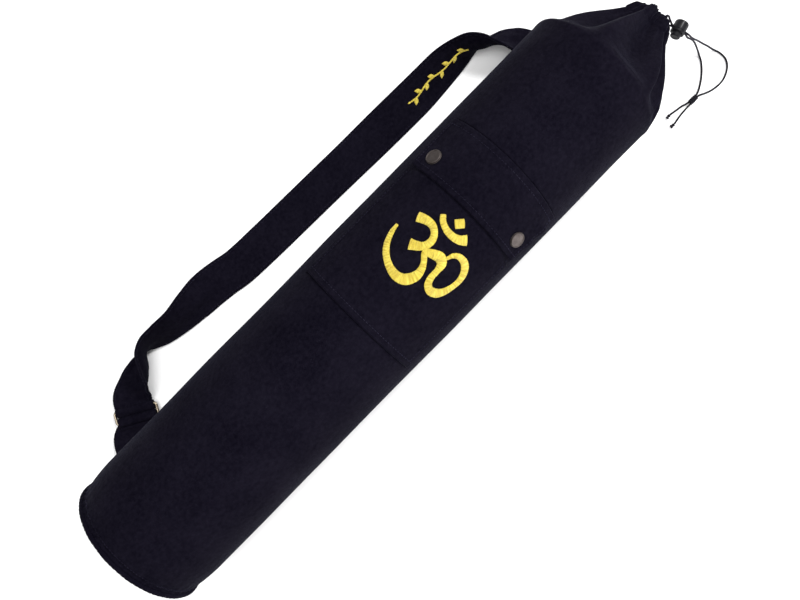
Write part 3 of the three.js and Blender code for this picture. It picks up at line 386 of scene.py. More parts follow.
def along_curve(points, spacing):
    """Points at an even spacing on a smooth curve through the given ones, whose speed at each point
    follows the square root of the distances on its two sides, so that it doesn't swing out."""
    points = np.asarray(points, float)
    knots = np.concatenate([[0], np.cumsum(np.sqrt(np.linalg.norm(np.diff(points, axis=0), axis=1)))])
    slope = np.gradient(points, knots, axis=0)
    fine = np.linspace(0, knots[-1], 40 * len(points))
    i = np.minimum(np.searchsorted(knots, fine, side="right") - 1, len(points) - 2)
    span = (knots[i + 1] - knots[i])[:, None]
    t = (fine - knots[i])[:, None] / span
    line = ((2 * t**3 - 3 * t**2 + 1) * points[i] + (t**3 - 2 * t**2 + t) * span * slope[i]
            + (3 * t**2 - 2 * t**3) * points[i + 1] + (t**3 - t**2) * span * slope[i + 1])
    run = np.concatenate([[0], np.cumsum(np.linalg.norm(np.diff(line, axis=0), axis=1))])
    even = np.linspace(0, run[-1], int(run[-1] / spacing) + 1)
    return np.stack([np.interp(even, run, line[:, k]) for k in range(3)], -1)


# Materials

def shader_group(name, inputs, outputs, wire):
    """A node group with named sockets; wire(tree, source, sink) puts its nodes in."""
    tree = bpy.data.node_groups.new(name, "ShaderNodeTree")
    for label, kind, value in inputs:
        socket = tree.interface.new_socket(name=label, in_out="INPUT", socket_type=kind)
        if value is not None:
            socket.default_value = value
    for label, kind in outputs:
        tree.interface.new_socket(name=label, in_out="OUTPUT", socket_type=kind)
    source = tree.nodes.new("NodeGroupInput")
    sink = tree.nodes.new("NodeGroupOutput")
    wire(tree, source, sink)
    return tree


def node(tree, kind, links=(), **values):
    """A new node; links pairs an input's name or number with the socket that feeds it, and values sets its
    properties, or its inputs where the name is that of one."""
    made = tree.nodes.new(kind)
    for key, value in values.items():
        if hasattr(made, key):
            setattr(made, key, value)
        else:
            made.inputs[key.replace("_", " ")].default_value = value
    for key, socket in dict(links).items():
        tree.links.new(socket, made.inputs[key])
    return made


def math_node(tree, operation, a, b=None):
    """A sum or function of a and b; each is a socket or a number."""
    made = node(tree, "ShaderNodeMath", operation=operation)
    for k, value in enumerate((a, b)):
        if value is None:
            continue
        if isinstance(value, (int, float)):
            made.inputs[k].default_value = value
        else:
            tree.links.new(value, made.inputs[k])
    return made.outputs[0]


def ramp(tree, socket, low, high, out_low=0.0, out_high=1.0):
    """The socket's value taken from low..high to out_low..out_high, and held outside."""
    made = node(tree, "ShaderNodeMapRange", {"Value": socket})
    for label, value in (("From Min", low), ("From Max", high), ("To Min", out_low), ("To Max", out_high)):
        made.inputs[label].default_value = value
    return made.outputs["Result"]


def noise(tree, vector, scale, detail=3.0, rough=0.55):
    made = node(tree, "ShaderNodeTexNoise", {"Vector": vector})
    made.inputs["Scale"].default_value = scale
    made.inputs["Detail"].default_value = detail
    made.inputs["Roughness"].default_value = rough
    return made.outputs["Fac"]


def mix(tree, share, a, b):
    """A colour between a and b; each is a socket or a colour."""
    made = node(tree, "ShaderNodeMix", data_type="RGBA")
    for label, value in ((0, share), (6, a), (7, b)):
        if isinstance(value, bpy.types.NodeSocket):
            tree.links.new(value, made.inputs[label])
        else:
            made.inputs[label].default_value = value
    return made.outputs[2]


def wire_weave(tree, source, sink):
    """Plain weave: sin(pi u / yarn) * sin(pi v / yarn) gives the overs and unders, and fine noise makes the
    yarns uneven."""
    rate = math_node(tree, "DIVIDE", math.pi, source.outputs["Yarn"])
    split = node(tree, "ShaderNodeSeparateXYZ", {0: source.outputs["Vector"]})
    warp = math_node(tree, "SINE", math_node(tree, "MULTIPLY", split.outputs[0], rate))
    weft = math_node(tree, "SINE", math_node(tree, "MULTIPLY", split.outputs[1], rate))
    over = math_node(tree, "MULTIPLY", warp, weft)
    uneven = noise(tree, source.outputs["Vector"], 900.0, 2.0)
    height = math_node(tree, "ADD", math_node(tree, "MULTIPLY", over, 0.5), uneven)
    tree.links.new(height, sink.inputs["Height"])


def wire_tone(tree, source, sink):
    """Cloth colour: the base clouded by wide and narrow noise, and paler where lint catches the light; the
    roughness follows the clouds."""
    place = source.outputs["Vector"]
    wide = ramp(tree, noise(tree, place, 22.0, 2.0), 0.3, 0.7)
    mottle = ramp(tree, noise(tree, place, 260.0, 3.0, 0.65), 0.32, 0.68)
    lint = ramp(tree, noise(tree, place, 1500.0, 2.0, 0.7), 0.66, 0.78)
    clouds = math_node(tree, "ADD", math_node(tree, "MULTIPLY", wide, 0.4),
                       math_node(tree, "MULTIPLY", mottle, 0.6))
    dyed = mix(tree, clouds, source.outputs["Deep"], source.outputs["Pale"])
    flecks = math_node(tree, "MULTIPLY", lint, source.outputs["Lint"])
    tree.links.new(mix(tree, flecks, dyed, (0.09, 0.085, 0.11, 1)), sink.inputs["Color"])
    tree.links.new(ramp(tree, clouds, 0.0, 1.0, 0.97, 0.82), sink.inputs["Roughness"])


def wire_wrinkles(tree, source, sink):
    """Small creases of limp cloth: noise stretched across the piece, plus a finer crumple."""
    stretched = node(tree, "ShaderNodeMapping", {"Vector": source.outputs["Vector"]})
    stretched.inputs["Scale"].default_value = (0.55, 1.0, 1.0)
    broad = noise(tree, stretched.outputs[0], 38.0, 3.0, 0.5)
    fine = noise(tree, source.outputs["Vector"], 170.0, 3.0, 0.5)
    both = math_node(tree, "ADD", broad, math_node(tree, "MULTIPLY", fine, 0.3))
    tree.links.new(both, sink.inputs["Height"])


def wire_threads(tree, source, sink):
    """Satin stitch: threads lie across the stroke, so their round backs repeat along it, and each one has
    a tone of its own."""
    split = node(tree, "ShaderNodeSeparateXYZ", {0: source.outputs["Vector"]})
    uneven = math_node(tree, "MULTIPLY", noise(tree, source.outputs["Vector"], 420.0, 2.0), 0.0006)
    place = math_node(tree, "ADD", split.outputs[1], uneven)
    count = math_node(tree, "DIVIDE", place, source.outputs["Thread"])
    back = math_node(tree, "ABSOLUTE", math_node(tree, "SINE", math_node(tree, "MULTIPLY", count, math.pi)))
    tone = node(tree, "ShaderNodeTexWhiteNoise", {"W": math_node(tree, "FLOOR", count)},
                noise_dimensions="1D")
    tree.links.new(back, sink.inputs["Height"])
    tree.links.new(tone.outputs["Value"], sink.inputs["Tone"])


def wire_wear(tree, source, sink):
    """Fine scratches and handling marks: stretched noise for the scratches, wide noise for the marks."""
    stretched = node(tree, "ShaderNodeMapping", {"Vector": source.outputs["Vector"]})
    stretched.inputs["Scale"].default_value = (1.0, 9.0, 9.0)
    scratch = ramp(tree, noise(tree, stretched.outputs[0], 420.0, 3.0, 0.7), 0.35, 0.7)
    marks = ramp(tree, noise(tree, source.outputs["Vector"], 160.0, 3.0), 0.35, 0.7)
    both = math_node(tree, "ADD", math_node(tree, "MULTIPLY", scratch, 0.5),
                     math_node(tree, "MULTIPLY", marks, 0.5))
    tree.links.new(both, sink.inputs["Mask"])


VECTOR, NUMBER, COLOR = "NodeSocketVector", "NodeSocketFloat", "NodeSocketColor"
WEAVE = shader_group("plain weave", [("Vector", VECTOR, None), ("Yarn", NUMBER, 0.0006)],
                     [("Height", NUMBER)], wire_weave)
TONE = shader_group("cloth tone", [("Vector", VECTOR, None), ("Deep", COLOR, (0.006, 0.005, 0.009, 1)),
                                   ("Pale", COLOR, (0.012, 0.010, 0.018, 1)), ("Lint", NUMBER, 0.5)],
                    [("Color", COLOR), ("Roughness", NUMBER)], wire_tone)
WRINKLES = shader_group("limp creases", [("Vector", VECTOR, None)], [("Height", NUMBER)], wire_wrinkles)
THREADS = shader_group("satin threads", [("Vector", VECTOR, None), ("Thread", NUMBER, 0.0004)],
                       [("Height", NUMBER), ("Tone", NUMBER)], wire_threads)
WEAR = shader_group("handling wear", [("Vector", VECTOR, None)], [("Mask", NUMBER)], wire_wear)


def new_material(name):
    """A material, its tree, its shader, and the Object and UV coordinates."""
    material = bpy.data.materials.new(name)
    material.use_nodes = True
    tree = material.node_tree
    shader = tree.nodes["Principled BSDF"]
    place = tree.nodes.new("ShaderNodeTexCoord")
    return material, tree, shader, place.outputs["Object"], place.outputs["UV"]


def use_group(tree, group, vector, **values):
    made = node(tree, "ShaderNodeGroup", node_tree=group)
    tree.links.new(vector, made.inputs["Vector"])
    for label, value in values.items():
        made.inputs[label].default_value = value
    return made


def relief(tree, height, distance, strength=1.0, under=None):
    """A Bump node for a height of 0..1 that is `distance` metres deep, over another normal."""
    made = node(tree, "ShaderNodeBump", {"Height": height})
    made.inputs["Distance"].default_value = distance
    made.inputs["Strength"].default_value = strength
    if under is not None:
        tree.links.new(under, made.inputs["Normal"])
    return made.outputs["Normal"]


def cloth_material(name, deep, pale, yarn, sheen, creases, lint):
    """Matt cloth from deep to pale, with a weave of this yarn over creases that are this many metres deep."""
    material, tree, shader, place, uv = new_material(name)
    tone = use_group(tree, TONE, place, Deep=(*deep, 1), Pale=(*pale, 1), Lint=lint)
    weave = use_group(tree, WEAVE, uv, Yarn=yarn)
    wrinkles = use_group(tree, WRINKLES, place)
    soft = relief(tree, wrinkles.outputs["Height"], creases, 0.6)
    tree.links.new(relief(tree, weave.outputs["Height"], 0.00022, 0.7, soft), shader.inputs["Normal"])
    tree.links.new(tone.outputs["Color"], shader.inputs["Base Color"])
    tree.links.new(tone.outputs["Roughness"], shader.inputs["Roughness"])
    shader.inputs["Specular IOR Level"].default_value = 0.03
    shader.inputs["Sheen Weight"].default_value = sheen
    shader.inputs["Sheen Roughness"].default_value = 0.3
    shader.inputs["Sheen Tint"].default_value = (0.42, 0.45, 0.80, 1)
    return material


def metal_material(name, dark, light, rough_low, rough_high):
    """Metal from dark to light by its handling marks, which are also the smoother places."""
    material, tree, shader, place, _ = new_material(name)
    wear = use_group(tree, WEAR, place)
    tree.links.new(mix(tree, wear.outputs["Mask"], (*dark, 1), (*light, 1)), shader.inputs["Base Color"])
    tree.links.new(ramp(tree, wear.outputs["Mask"], 0, 1, rough_high, rough_low), shader.inputs["Roughness"])
    tree.links.new(relief(tree, wear.outputs["Mask"], 0.00004, 0.5), shader.inputs["Normal"])
    shader.inputs["Metallic"].default_value = 1.0
    return material


BAG_CLOTH = cloth_material("navy black canvas", (0.0018, 0.0014, 0.0042), (0.0066, 0.0056, 0.0112),
                           0.00062, 0.022, 0.0011, 0.2)
TRIM_CLOTH = cloth_material("navy black trim", (0.0022, 0.0018, 0.0048), (0.0048, 0.0040, 0.0088),
                            0.0005, 0.03, 0.0006, 0.2)
SEAM_THREAD = cloth_material("dark seam thread", (0.006, 0.005, 0.011), (0.018, 0.016, 0.028),
                             0.0003, 0.1, 0.0002, 0.2)
STUD_METAL = metal_material("satin stud metal", (0.055, 0.045, 0.043), (0.105, 0.09, 0.086), 0.44, 0.6)
RING_METAL = metal_material("aged ring metal", (0.10, 0.075, 0.05), (0.42, 0.36, 0.28), 0.16, 0.4)


def satin_material():
    """Golden yellow embroidery thread: each thread has a tone of its own, streaks across the stroke are
    painted paler as highlights over that tone, and painted shade darkens the grooves between the threads.
    """
    material, tree, shader, _, uv = new_material("golden satin stitch")
    threads = use_group(tree, THREADS, uv, Thread=0.00042)
    across = node(tree, "ShaderNodeMapping", {"Vector": uv})
    across.inputs["Scale"].default_value = (0.16, 1.0, 1.0)
    clouds = ramp(tree, noise(tree, across.outputs[0], 620.0, 3.0, 0.6), 0.36, 0.64)
    # Painted highlight: the clouds' pale streaks stand in for light caught along the stitches, mixed with
    # each thread's own tone
    tone = math_node(tree, "ADD", math_node(tree, "MULTIPLY", threads.outputs["Tone"], 0.3),
                     math_node(tree, "MULTIPLY", clouds, 0.7))
    dyed = mix(tree, tone, (0.50, 0.34, 0.010, 1), (0.90, 0.76, 0.10, 1))
    # Painted shade: the colour darkens toward (0.30, 0.17, 0.01) where a thread's back dips into the groove
    # between threads
    deep = ramp(tree, threads.outputs["Height"], 0.0, 0.45, 0.45, 0.0)
    tree.links.new(mix(tree, deep, dyed, (0.30, 0.17, 0.01, 1)), shader.inputs["Base Color"])
    streaks = relief(tree, clouds, 0.0004, 0.8)
    tree.links.new(relief(tree, threads.outputs["Height"], 0.00022, 0.9, streaks), shader.inputs["Normal"])
    tree.links.new(ramp(tree, clouds, 0, 1, 0.5, 0.36), shader.inputs["Roughness"])
    shader.inputs["Specular IOR Level"].default_value = 0.45
    shader.inputs["Sheen Weight"].default_value = 0.15
    return material


def lock_material():
    """Black moulded plastic with a soft gloss and faint handling marks."""
    material, tree, shader, place, _ = new_material("black moulded plastic")
    wear = use_group(tree, WEAR, place)
    tree.links.new(mix(tree, wear.outputs["Mask"], (0.003, 0.003, 0.004, 1), (0.009, 0.009, 0.012, 1)),
                   shader.inputs["Base Color"])
    tree.links.new(ramp(tree, wear.outputs["Mask"], 0, 1, 0.42, 0.6), shader.inputs["Roughness"])
    tree.links.new(relief(tree, wear.outputs["Mask"], 0.00002, 0.4), shader.inputs["Normal"])
    shader.inputs["Specular IOR Level"].default_value = 0.16
    shader.inputs["Coat Weight"].default_value = 0.05
    shader.inputs["Coat Roughness"].default_value = 0.12
    return material


def braid_material():
    """Braided cord: two sets of strands that cross over it, one leaning each way, with painted shade
    darkening the hollows between the strands.
    """
    material, tree, shader, _, uv = new_material("black braided cord")
    split = node(tree, "ShaderNodeSeparateXYZ", {0: uv})
    leans = []
    for side in (1, -1):
        lean = math_node(tree, "ADD", split.outputs[1], math_node(tree, "MULTIPLY", split.outputs[0], side))
        turn = math_node(tree, "MULTIPLY", lean, math.pi / 0.00105)
        leans.append(math_node(tree, "ABSOLUTE", math_node(tree, "SINE", turn)))
    height = math_node(tree, "MULTIPLY", leans[0], leans[1])
    tree.links.new(relief(tree, height, 0.00025, 0.8), shader.inputs["Normal"])
    # Painted shade: the black goes darker where the braid's height drops into the hollows between strands
    tree.links.new(mix(tree, height, (0.003, 0.003, 0.004, 1), (0.011, 0.010, 0.014, 1)),
                   shader.inputs["Base Color"])
    tree.links.new(ramp(tree, height, 0, 1, 0.85, 0.55), shader.inputs["Roughness"])
    shader.inputs["Specular IOR Level"].default_value = 0.15
    shader.inputs["Sheen Weight"].default_value = 0.04
    shader.inputs["Sheen Tint"].default_value = (0.5, 0.35, 0.9, 1)
    return material


SATIN = satin_material()
LOCK_PLASTIC = lock_material()
BRAID = braid_material()


# Camera and cords

camera = bpy.data.objects.new("camera", bpy.data.cameras.new("camera"))
bpy.context.scene.collection.objects.link(camera)
camera.location = (-0.0164, -0.0177, 0.745)
camera.rotation_euler = (0, 0, math.radians(-45.6))
camera.data.sensor_width = 36
camera.data.lens = 31.0
camera.data.clip_start = 0.01
bpy.context.scene.camera = camera


def winding(place, length, radius, cord, pitch):
    """Cord wound round a knot: a helix along X, radius * (cos t, sin t), that steps on by the pitch and is
    fuller in its middle."""
    turn = np.linspace(0, 2 * np.pi * (length - 2 * cord) / pitch, int(26 * length / pitch))
    along = cord + turn / (2 * np.pi) * pitch
    radius = radius * (0.78 + 0.22 * np.sin(np.pi * along / length))
    return place + np.stack([-along, radius * np.cos(turn), radius * np.sin(turn)], -1)


def overhand(place, size):
    """A small knot: the closed curve ((2 + cos 3t) cos 2t, (2 + cos 3t) sin 2t, sin 3t) at a size, turned so
    that its third axis lies along X."""
    t = np.linspace(0, 2 * np.pi, 120, endpoint=False)
    curve = np.stack([(2 + np.cos(3 * t)) * np.cos(2 * t), (2 + np.cos(3 * t)) * np.sin(2 * t),
                      np.sin(3 * t)], -1) * size / 3
    return place + curve[:, [2, 0, 1]]


def end_knot(side, aside, flare):
    """The knot at a tail's end: an overhand loop round a small core, and past it a tuft of loose strands
    that leans aside and widens by the flare, both in mm."""
    tail = np.array(CORD_POINTS[f"drawcord_{side}"][-1]) / MM
    place = np.array([tail[0] - GAP - END_KNOT_RADIUS, tail[1], END_KNOT_RADIUS + GAP / 2])
    line = overhand(place, END_KNOT_RADIUS - END_KNOT_CORD)
    heading = unit(np.roll(line, -1, 0) - np.roll(line, 1, 0))
    sideways = unit(np.cross(heading, unit(line - place)))
    up = np.cross(sideways, heading)
    turn = np.linspace(0, 2 * np.pi, 10, endpoint=False)[None, :, None]
    loop = line[:, None] + END_KNOT_CORD * (np.cos(turn) * sideways[:, None] + np.sin(turn) * up[:, None])
    core = turned_grid([(0, -1.2), (0.9, -0.9), (1.2, 0), (0.9, 0.9), (0, 1.2)], 16, place,
                       np.array([1.0, 0, 0]), np.array([0, 1.0, 0]))
    tuft_line = along_curve(np.stack([place, place - [1.4, 0, 0.2], place - [3.0, aside, 0.1]]), 0.3)
    tuft = tube_grid(tuft_line, 0.9 + flare * blend01(np.arange(len(tuft_line)), 3, len(tuft_line)), 12)
    return new_piece(f"end_knot_{side}", [(loop, True, True), (core, False, True), (tuft, False, True)],
                     BRAID, [f"tail_knot_{side}"])


KNOT_PLACE = np.array([364.4 - GAP, -92.25, KNOT_BULK + GAP / 2])
knot_line = winding(KNOT_PLACE, KNOT_LENGTH, KNOT_BULK - CORD_RADIUS, CORD_RADIUS, KNOT_PITCH)
knot = new_piece("cord_knot_winding", [(tube_grid(knot_line, CORD_RADIUS, 12), False, True)], BRAID,
                 ["cord_knot"])
ends = {"inner": end_knot("inner", 0.4, 1.0), "outer": end_knot("outer", -0.4, 1.4)}

for side in ("inner", "outer"):
    line = along_curve(np.array(CORD_POINTS[f"drawcord_{side}"]) / MM, 0.8)
    cord = new_piece(f"drawcord_{side}", [(tube_grid(line, CORD_RADIUS, 12), False, True)], BRAID,
                     [f"cord_strand_{side}", f"cord_tail_{side}"])


# Round body with the gathered neck

def on_tube(along, angle, radius, lowest=0.0):
    """A place on a round tube: x from `along`, and (y, z) = radius * (-sin, cos) of the angle about the
    axis, no lower than `lowest`."""
    turn = np.radians(angle)
    height = np.maximum(AXIS_HEIGHT + radius * np.cos(turn), lowest)
    return np.stack(np.broadcast_arrays(along - BAG_LENGTH / 2, -radius * np.sin(turn), height), -1)


def smooth_profile(column):
    """The neck's profile column as a smooth function of the share: straight between rows, then averaged
    over a few mm."""
    shares = np.linspace(-0.2, 1.2, 1401)
    values = np.interp(shares, NECK_PROFILE[:, 0], NECK_PROFILE[:, column])
    reach = np.arange(-24, 25)
    kernel = np.exp(-(reach / 11.0) ** 2)
    soft = np.convolve(np.pad(values, 24, "edge"), kernel / kernel.sum(), "valid")
    return lambda share: np.interp(share, shares, soft)


ridge_share, valley_share = smooth_profile(1), smooth_profile(2)


def fold_at(angle):
    """How far out the gathers' ridges stand at an angle, blended from ridge to ridge, and how deep the
    fold is: the pleat's depth times sin(pi s)^1.4 at a share s of the way to the next ridge."""
    first = PLEATS[0, 0]
    turn = np.mod(angle - first, 360) + first
    i = np.searchsorted(PLEATS[:, 0], turn, side="right") - 1
    after = (i + 1) % len(PLEATS)
    end = np.where(after > 0, PLEATS[after, 0], first + 360)
    share = (turn - PLEATS[i, 0]) / (end - PLEATS[i, 0])
    reach = PLEATS[i, 1] + (PLEATS[after, 1] - PLEATS[i, 1]) * blend01(share, 0, 1)
    return reach, PLEATS[i, 2] * np.sin(np.pi * share) ** 1.4


def tube_radius(along, angle):
    """Outer radius: the base's quarter-sine swell, a straight run, and past the rim the blend between the
    ridges' and the hollows' profiles by the fold's depth, with the small creases taken off."""
    swell = BASE_SHARE + (1 - BASE_SHARE) * np.sin(np.clip(along / BASE_SWELL, 0, 1) * np.pi / 2)
    share = (along - BODY_LENGTH) / NECK_LENGTH
    reach, depth = fold_at(angle)
    ridge = TUBE_RADIUS * np.minimum(swell, ridge_share(share))
    ridge = ridge * (1 + (reach - 1) * blend01(share, 0, 0.23))
    valley = TUBE_RADIUS * valley_share(share)
    radius = ridge + (np.minimum(valley, ridge) - ridge) * np.where(share > 0, depth, 0)
    for at, start, deep, half_width in NECK_CREASES:
        away = np.mod(angle - at + 180, 360) - 180
        grows = blend01(share, start, min(start + 0.45, 1)) * (1 - 0.45 * blend01(share, 0.75, 1))
        radius = radius - deep * grows * np.exp(-(away / half_width) ** 2)
    return radius


def body_relief(along, angle, points):
    """What stands on the round form in mm: slack waves, the lengthwise seam's groove with its puckers, the
    base seam's puckers and crease, the soft edge that the mat pushes out at the rim, the hem's ruffles, and
    grooves where the pocket and the flap are sewn on."""
    share = (along - BODY_LENGTH) / NECK_LENGTH
    away = (np.mod(angle - SEAM_ANGLE + 180, 360) - 180) * np.pi / 180 * TUBE_RADIUS
    on_body = 1 - blend01(share, 0, 0.3)
    slack = 0.55 * waves(points, 150, 3) + 0.22 * waves(points * [0.5, 1, 1], 42, 5)
    near_base = np.exp(-np.maximum(along, 0) / 11)
    seam = -0.9 * bump_at(away, 0, 1.3) + 0.35 * bump_at(away, 3.2, 2.2)
    seam = seam + 0.25 * np.sin(along / 5.3) * bump_at(away, 0, 9)
    puckers = 0.42 * np.sin(np.radians(angle) * PUCKERS + 1.3 * np.sin(np.radians(angle) * 5)) * near_base
    rim = 0.35 * bump_at(along, BODY_LENGTH - 1, 3.5) - 0.8 * bump_at(along, 2.2, 1.5)
    hem = blend01(share, 0.80, 0.86)
    ruffle = 1.15 * np.sin(np.radians(angle) * 23 + 1.7 * np.sin(np.radians(angle) * 4 + 1))
    channel = 0.9 * np.sin(np.pi * np.clip((share - 0.80) / 0.2, 0, 1)) - 0.8 * bump_at(share, 0.815, 0.012)
    from_panel = np.abs(angle - 360 * (angle > 180) - PANEL_TURN)
    on_panel = 1 - blend01(from_panel, PANEL_HALF_ANGLE - 1, PANEL_HALF_ANGLE + 1)
    slack = slack - 1.3 * bump_at(along, FLAP_HEM + FLAP_LENGTH + 0.9, 0.9) * on_panel
    slack = slack - 1.0 * bump_at(along, POCKET_FOOT - 0.9, 0.9) * on_panel
    return slack * on_body * 0.8 + seam * on_body + puckers + rim + hem * ruffle * (1 - near_base) + channel


def bag_body():
    """The outer side from the base seam to the mouth, over the mouth's lip, and the inner side back
    to the base: rows along the bag, columns round it."""
    columns = 384
    angle = np.linspace(0, 360, columns, endpoint=False)[None]
    along = np.concatenate([
        np.linspace(0, 6, 11)[:-1],
        np.linspace(6, BASE_SWELL, 12)[:-1],
        np.linspace(BASE_SWELL, POCKET_FOOT - 4, 34)[:-1],
        np.linspace(POCKET_FOOT - 4, POCKET_FOOT + 1, 9)[:-1],
        np.linspace(POCKET_FOOT + 1, FLAP_HEM + FLAP_LENGTH - 2, 18)[:-1],
        np.linspace(FLAP_HEM + FLAP_LENGTH - 2, FLAP_HEM + FLAP_LENGTH + 4, 11)[:-1],
        np.linspace(FLAP_HEM + FLAP_LENGTH + 4, BODY_LENGTH - 8, 16)[:-1],
        np.linspace(BODY_LENGTH - 8, BAG_LENGTH, 108),
    ])[:, None]
    radius = tube_radius(along, angle)
    outer_points = on_tube(along, angle, radius)
    radius = radius + body_relief(along, angle, outer_points)
    outer = on_tube(along, angle, radius)
    lip_out = np.array([1.0, 1.3, 0.8, -0.6])[:, None]
    lip_in = np.array([0.5, 1.4, 2.2, 2.6])[:, None]
    lip = on_tube(BAG_LENGTH + lip_out, angle, radius[-1:] - lip_in)
    back = np.concatenate([
        np.linspace(BAG_LENGTH - 2, BODY_LENGTH - 4, 22),
        np.linspace(BODY_LENGTH - 30, 10, 6),
        [0.0],
    ])[:, None]
    slopes = np.hypot(1, np.abs(tube_radius(back + 1, angle) - tube_radius(back - 1, angle)) / 2)
    inner_radius = tube_radius(back, angle) - CLOTH * np.minimum(slopes, 2.2) - 0.3
    inner = on_tube(back, angle, np.maximum(inner_radius, 6), CLOTH)
    return np.concatenate([outer, lip, inner])


new_piece("bag_body", [(bag_body(), True, True)], BAG_CLOTH, ["bag_tube"], sharp=180)


# Base panel and piping

def base_disc():
    """A disc across the base: bulges out by BASE_DOME * (1 - s^2) at share s of its radius, puckered near
    the seam, with a rounded edge."""
    radius = TUBE_RADIUS * BASE_SHARE - CLOTH - GAP
    angle = np.linspace(0, 2 * np.pi, 192, endpoint=False)[None]
    s = np.linspace(0, 0.995, 34)[:, None]
    pucker = 0.35 * np.sin(angle * PUCKERS + 1.3 * np.sin(angle * 5)) * blend01(s, 0.72, 0.98)
    ring = -0.5 * bump_at(s, 0.93, 0.012)
    front = -BASE_DOME * (1 - s**2) - pucker * 0.6 - ring * 0.5
    s_back = np.linspace(0.985, 0, 8)[:, None]
    back = CLOTH - BASE_DOME * (1 - s_back**2) + 0 * angle
    shares = np.concatenate([s, [[1.0]], s_back])
    heights = np.concatenate([front, CLOTH / 2 + 0 * angle, back])
    x = heights - BAG_LENGTH / 2
    y, z = radius * shares * np.sin(angle), AXIS_HEIGHT + radius * shares * np.cos(angle)
    return np.stack(np.broadcast_arrays(x, y, z), -1)


def piping_ring():
    """A cord in its cloth cover round the seam: a ring whose tube is PIPING_RADIUS thick, with slanting
    drag lines and a slow unevenness of about 0.1 mm."""
    t = np.linspace(0, 2 * np.pi, 360, endpoint=False)[:, None]
    p = np.linspace(0, 2 * np.pi, 18, endpoint=False)[None]
    thick = PIPING_RADIUS + 0.13 * np.sin(t * 90 + p) + 0.08 * np.sin(t * 17)
    big = TUBE_RADIUS * BASE_SHARE + thick * np.cos(p)
    x = -PIPING_RADIUS + PIPING_OVERLAP - BAG_LENGTH / 2 + thick * np.sin(p)
    return np.stack([x, big * np.sin(t), AXIS_HEIGHT + big * np.cos(t)], -1)


new_piece("base_disc", [(base_disc(), False, True)], BAG_CLOTH, ["base_panel"])
new_piece("base_piping_cord", [(piping_ring(), True, True)], TRIM_CLOTH, ["base_piping"])


# Pocket and flap

def hem_relief(away, width):
    """Folded and sewn edge in mm: 0.35 higher out to the hem's width, with a groove where the stitches
    pull it down."""
    folded = 0.35 * (1 - blend01(away, width - 0.8, width + 0.8))
    return folded - 0.3 * bump_at(away, width - SEAM_IN, 0.6)


def pocket_height(along, angle):
    """Height of the pocket's outer side over the tube's radius."""
    side = (PANEL_HALF_ANGLE - np.abs(angle - PANEL_TURN)) * np.pi / 180 * TUBE_RADIUS
    away = np.minimum(side, along - POCKET_FOOT)
    place = on_tube(along, angle, POCKET_RADIUS)
    slack = 0.25 * waves(place, 60, 11) * blend01(away, 2, 16)
    corner = blend01(np.abs(angle - PANEL_TURN), LIFT_ANGLE - 5, PANEL_HALF_ANGLE - 3)
    pressed = (0.7 + 0.9 * corner) * bump_at(along, FLAP_HEM - 1.0 - corner, 1.6 + corner)
    return POCKET_RADIUS - TUBE_RADIUS + hem_relief(away, POCKET_HEM) + slack - pressed


def pocket_top(along, angle):
    """The pocket's outer side: the tube's radius plus the pocket's height."""
    return on_tube(along, angle, TUBE_RADIUS + pocket_height(along, angle))


def corner_lift(along, angle):
    """How far the flap's free corners stand off: grows outside the studs and toward the hem."""
    outward = blend01(np.abs(angle - PANEL_TURN), LIFT_ANGLE - 1.5, PANEL_HALF_ANGLE)
    hemward = np.clip(1 - (along - FLAP_HEM) / FLAP_LENGTH, 0, 1)
    return CORNER_LIFT * outward * hemward**2


def flap_foot(along):
    """Radius of the flap's underside: over the pocket, then down to the tube past the pocket's top."""
    over = POCKET_RADIUS + GAP
    down = blend01(along, POCKET_FOOT + POCKET_LENGTH + GAP, FLAP_HEM + FLAP_LENGTH - 2)
    return over + (TUBE_RADIUS + GAP - over) * down


def flap_top(along, angle):
    """The flap's outer side: its foot plus the cloth, the folded hems, soft slack, and a low ring pressed
    up round each stud."""
    side = (PANEL_HALF_ANGLE - np.abs(angle - PANEL_TURN)) * np.pi / 180 * TUBE_RADIUS
    away = np.minimum(side, along - FLAP_HEM)
    above = FLAP_HEM + FLAP_LENGTH - along
    place = on_tube(along, angle, FLAP_RADIUS)
    press = 0
    for snap in (-1, 1):
        arc = (angle - PANEL_TURN - snap * SNAP_ANGLE) * np.pi / 180 * FLAP_RADIUS
        reach = np.hypot(arc, along - FLAP_HEM - SNAP_FROM_HEM)
        press = press + 0.5 * bump_at(reach, SNAP_RADIUS + 2.5, 3.0) - 0.15 * (reach < SNAP_RADIUS)
    slack = 0.3 * waves(place, 55, 17) * blend01(np.minimum(away, above), 2, 14)
    height = PANEL_CLOTH + hem_relief(away, FLAP_FOLD) + 0.3 * (1 - blend01(above, 5, 7)) + slack + press
    height = height - 0.3 * bump_at(above, FLAP_TOP_SEAM, 0.6)
    return lifted(along, angle, flap_foot(along) + height)


# The flap's side edge where it stands off: along, half width and rise in mm
SIDE_RUFFLES = [(475, 6, 1.7), (458, 5, 1.3)]


def lifted(along, angle, radius):
    """A place on the flap: its free corners are carried up and a little in over the tube, and one side
    edge stands off a little at two places."""
    lift = corner_lift(along, angle)[..., None]
    inward = np.sign(angle - PANEL_TURN)[..., None] * np.array([0, 0.25, 0])
    at_side = blend01(angle - PANEL_TURN, PANEL_HALF_ANGLE - 14, PANEL_HALF_ANGLE)
    for at, half_width, rise in SIDE_RUFFLES:
        radius = radius + at_side * rise * bump_at(along, at, half_width)
    return on_tube(along, angle, radius) + lift * (np.array([0, 0, 1.0]) + inward)


def flap_under(along, angle):
    """The flap's underside, which lies on the pocket but for its free corners."""
    return lifted(along, angle, flap_foot(along) + 0 * angle)


def panel_grid(start, end, top, under):
    """Both sides of a panel on the tube: rows along the bag from start to end, columns round it."""
    along = np.linspace(start, end, int(end - start) + 1)[:, None]
    angle = np.linspace(-PANEL_HALF_ANGLE, PANEL_HALF_ANGLE, 180)[None] + PANEL_TURN
    return cloth_sheet(top(along, angle), under(along, angle))


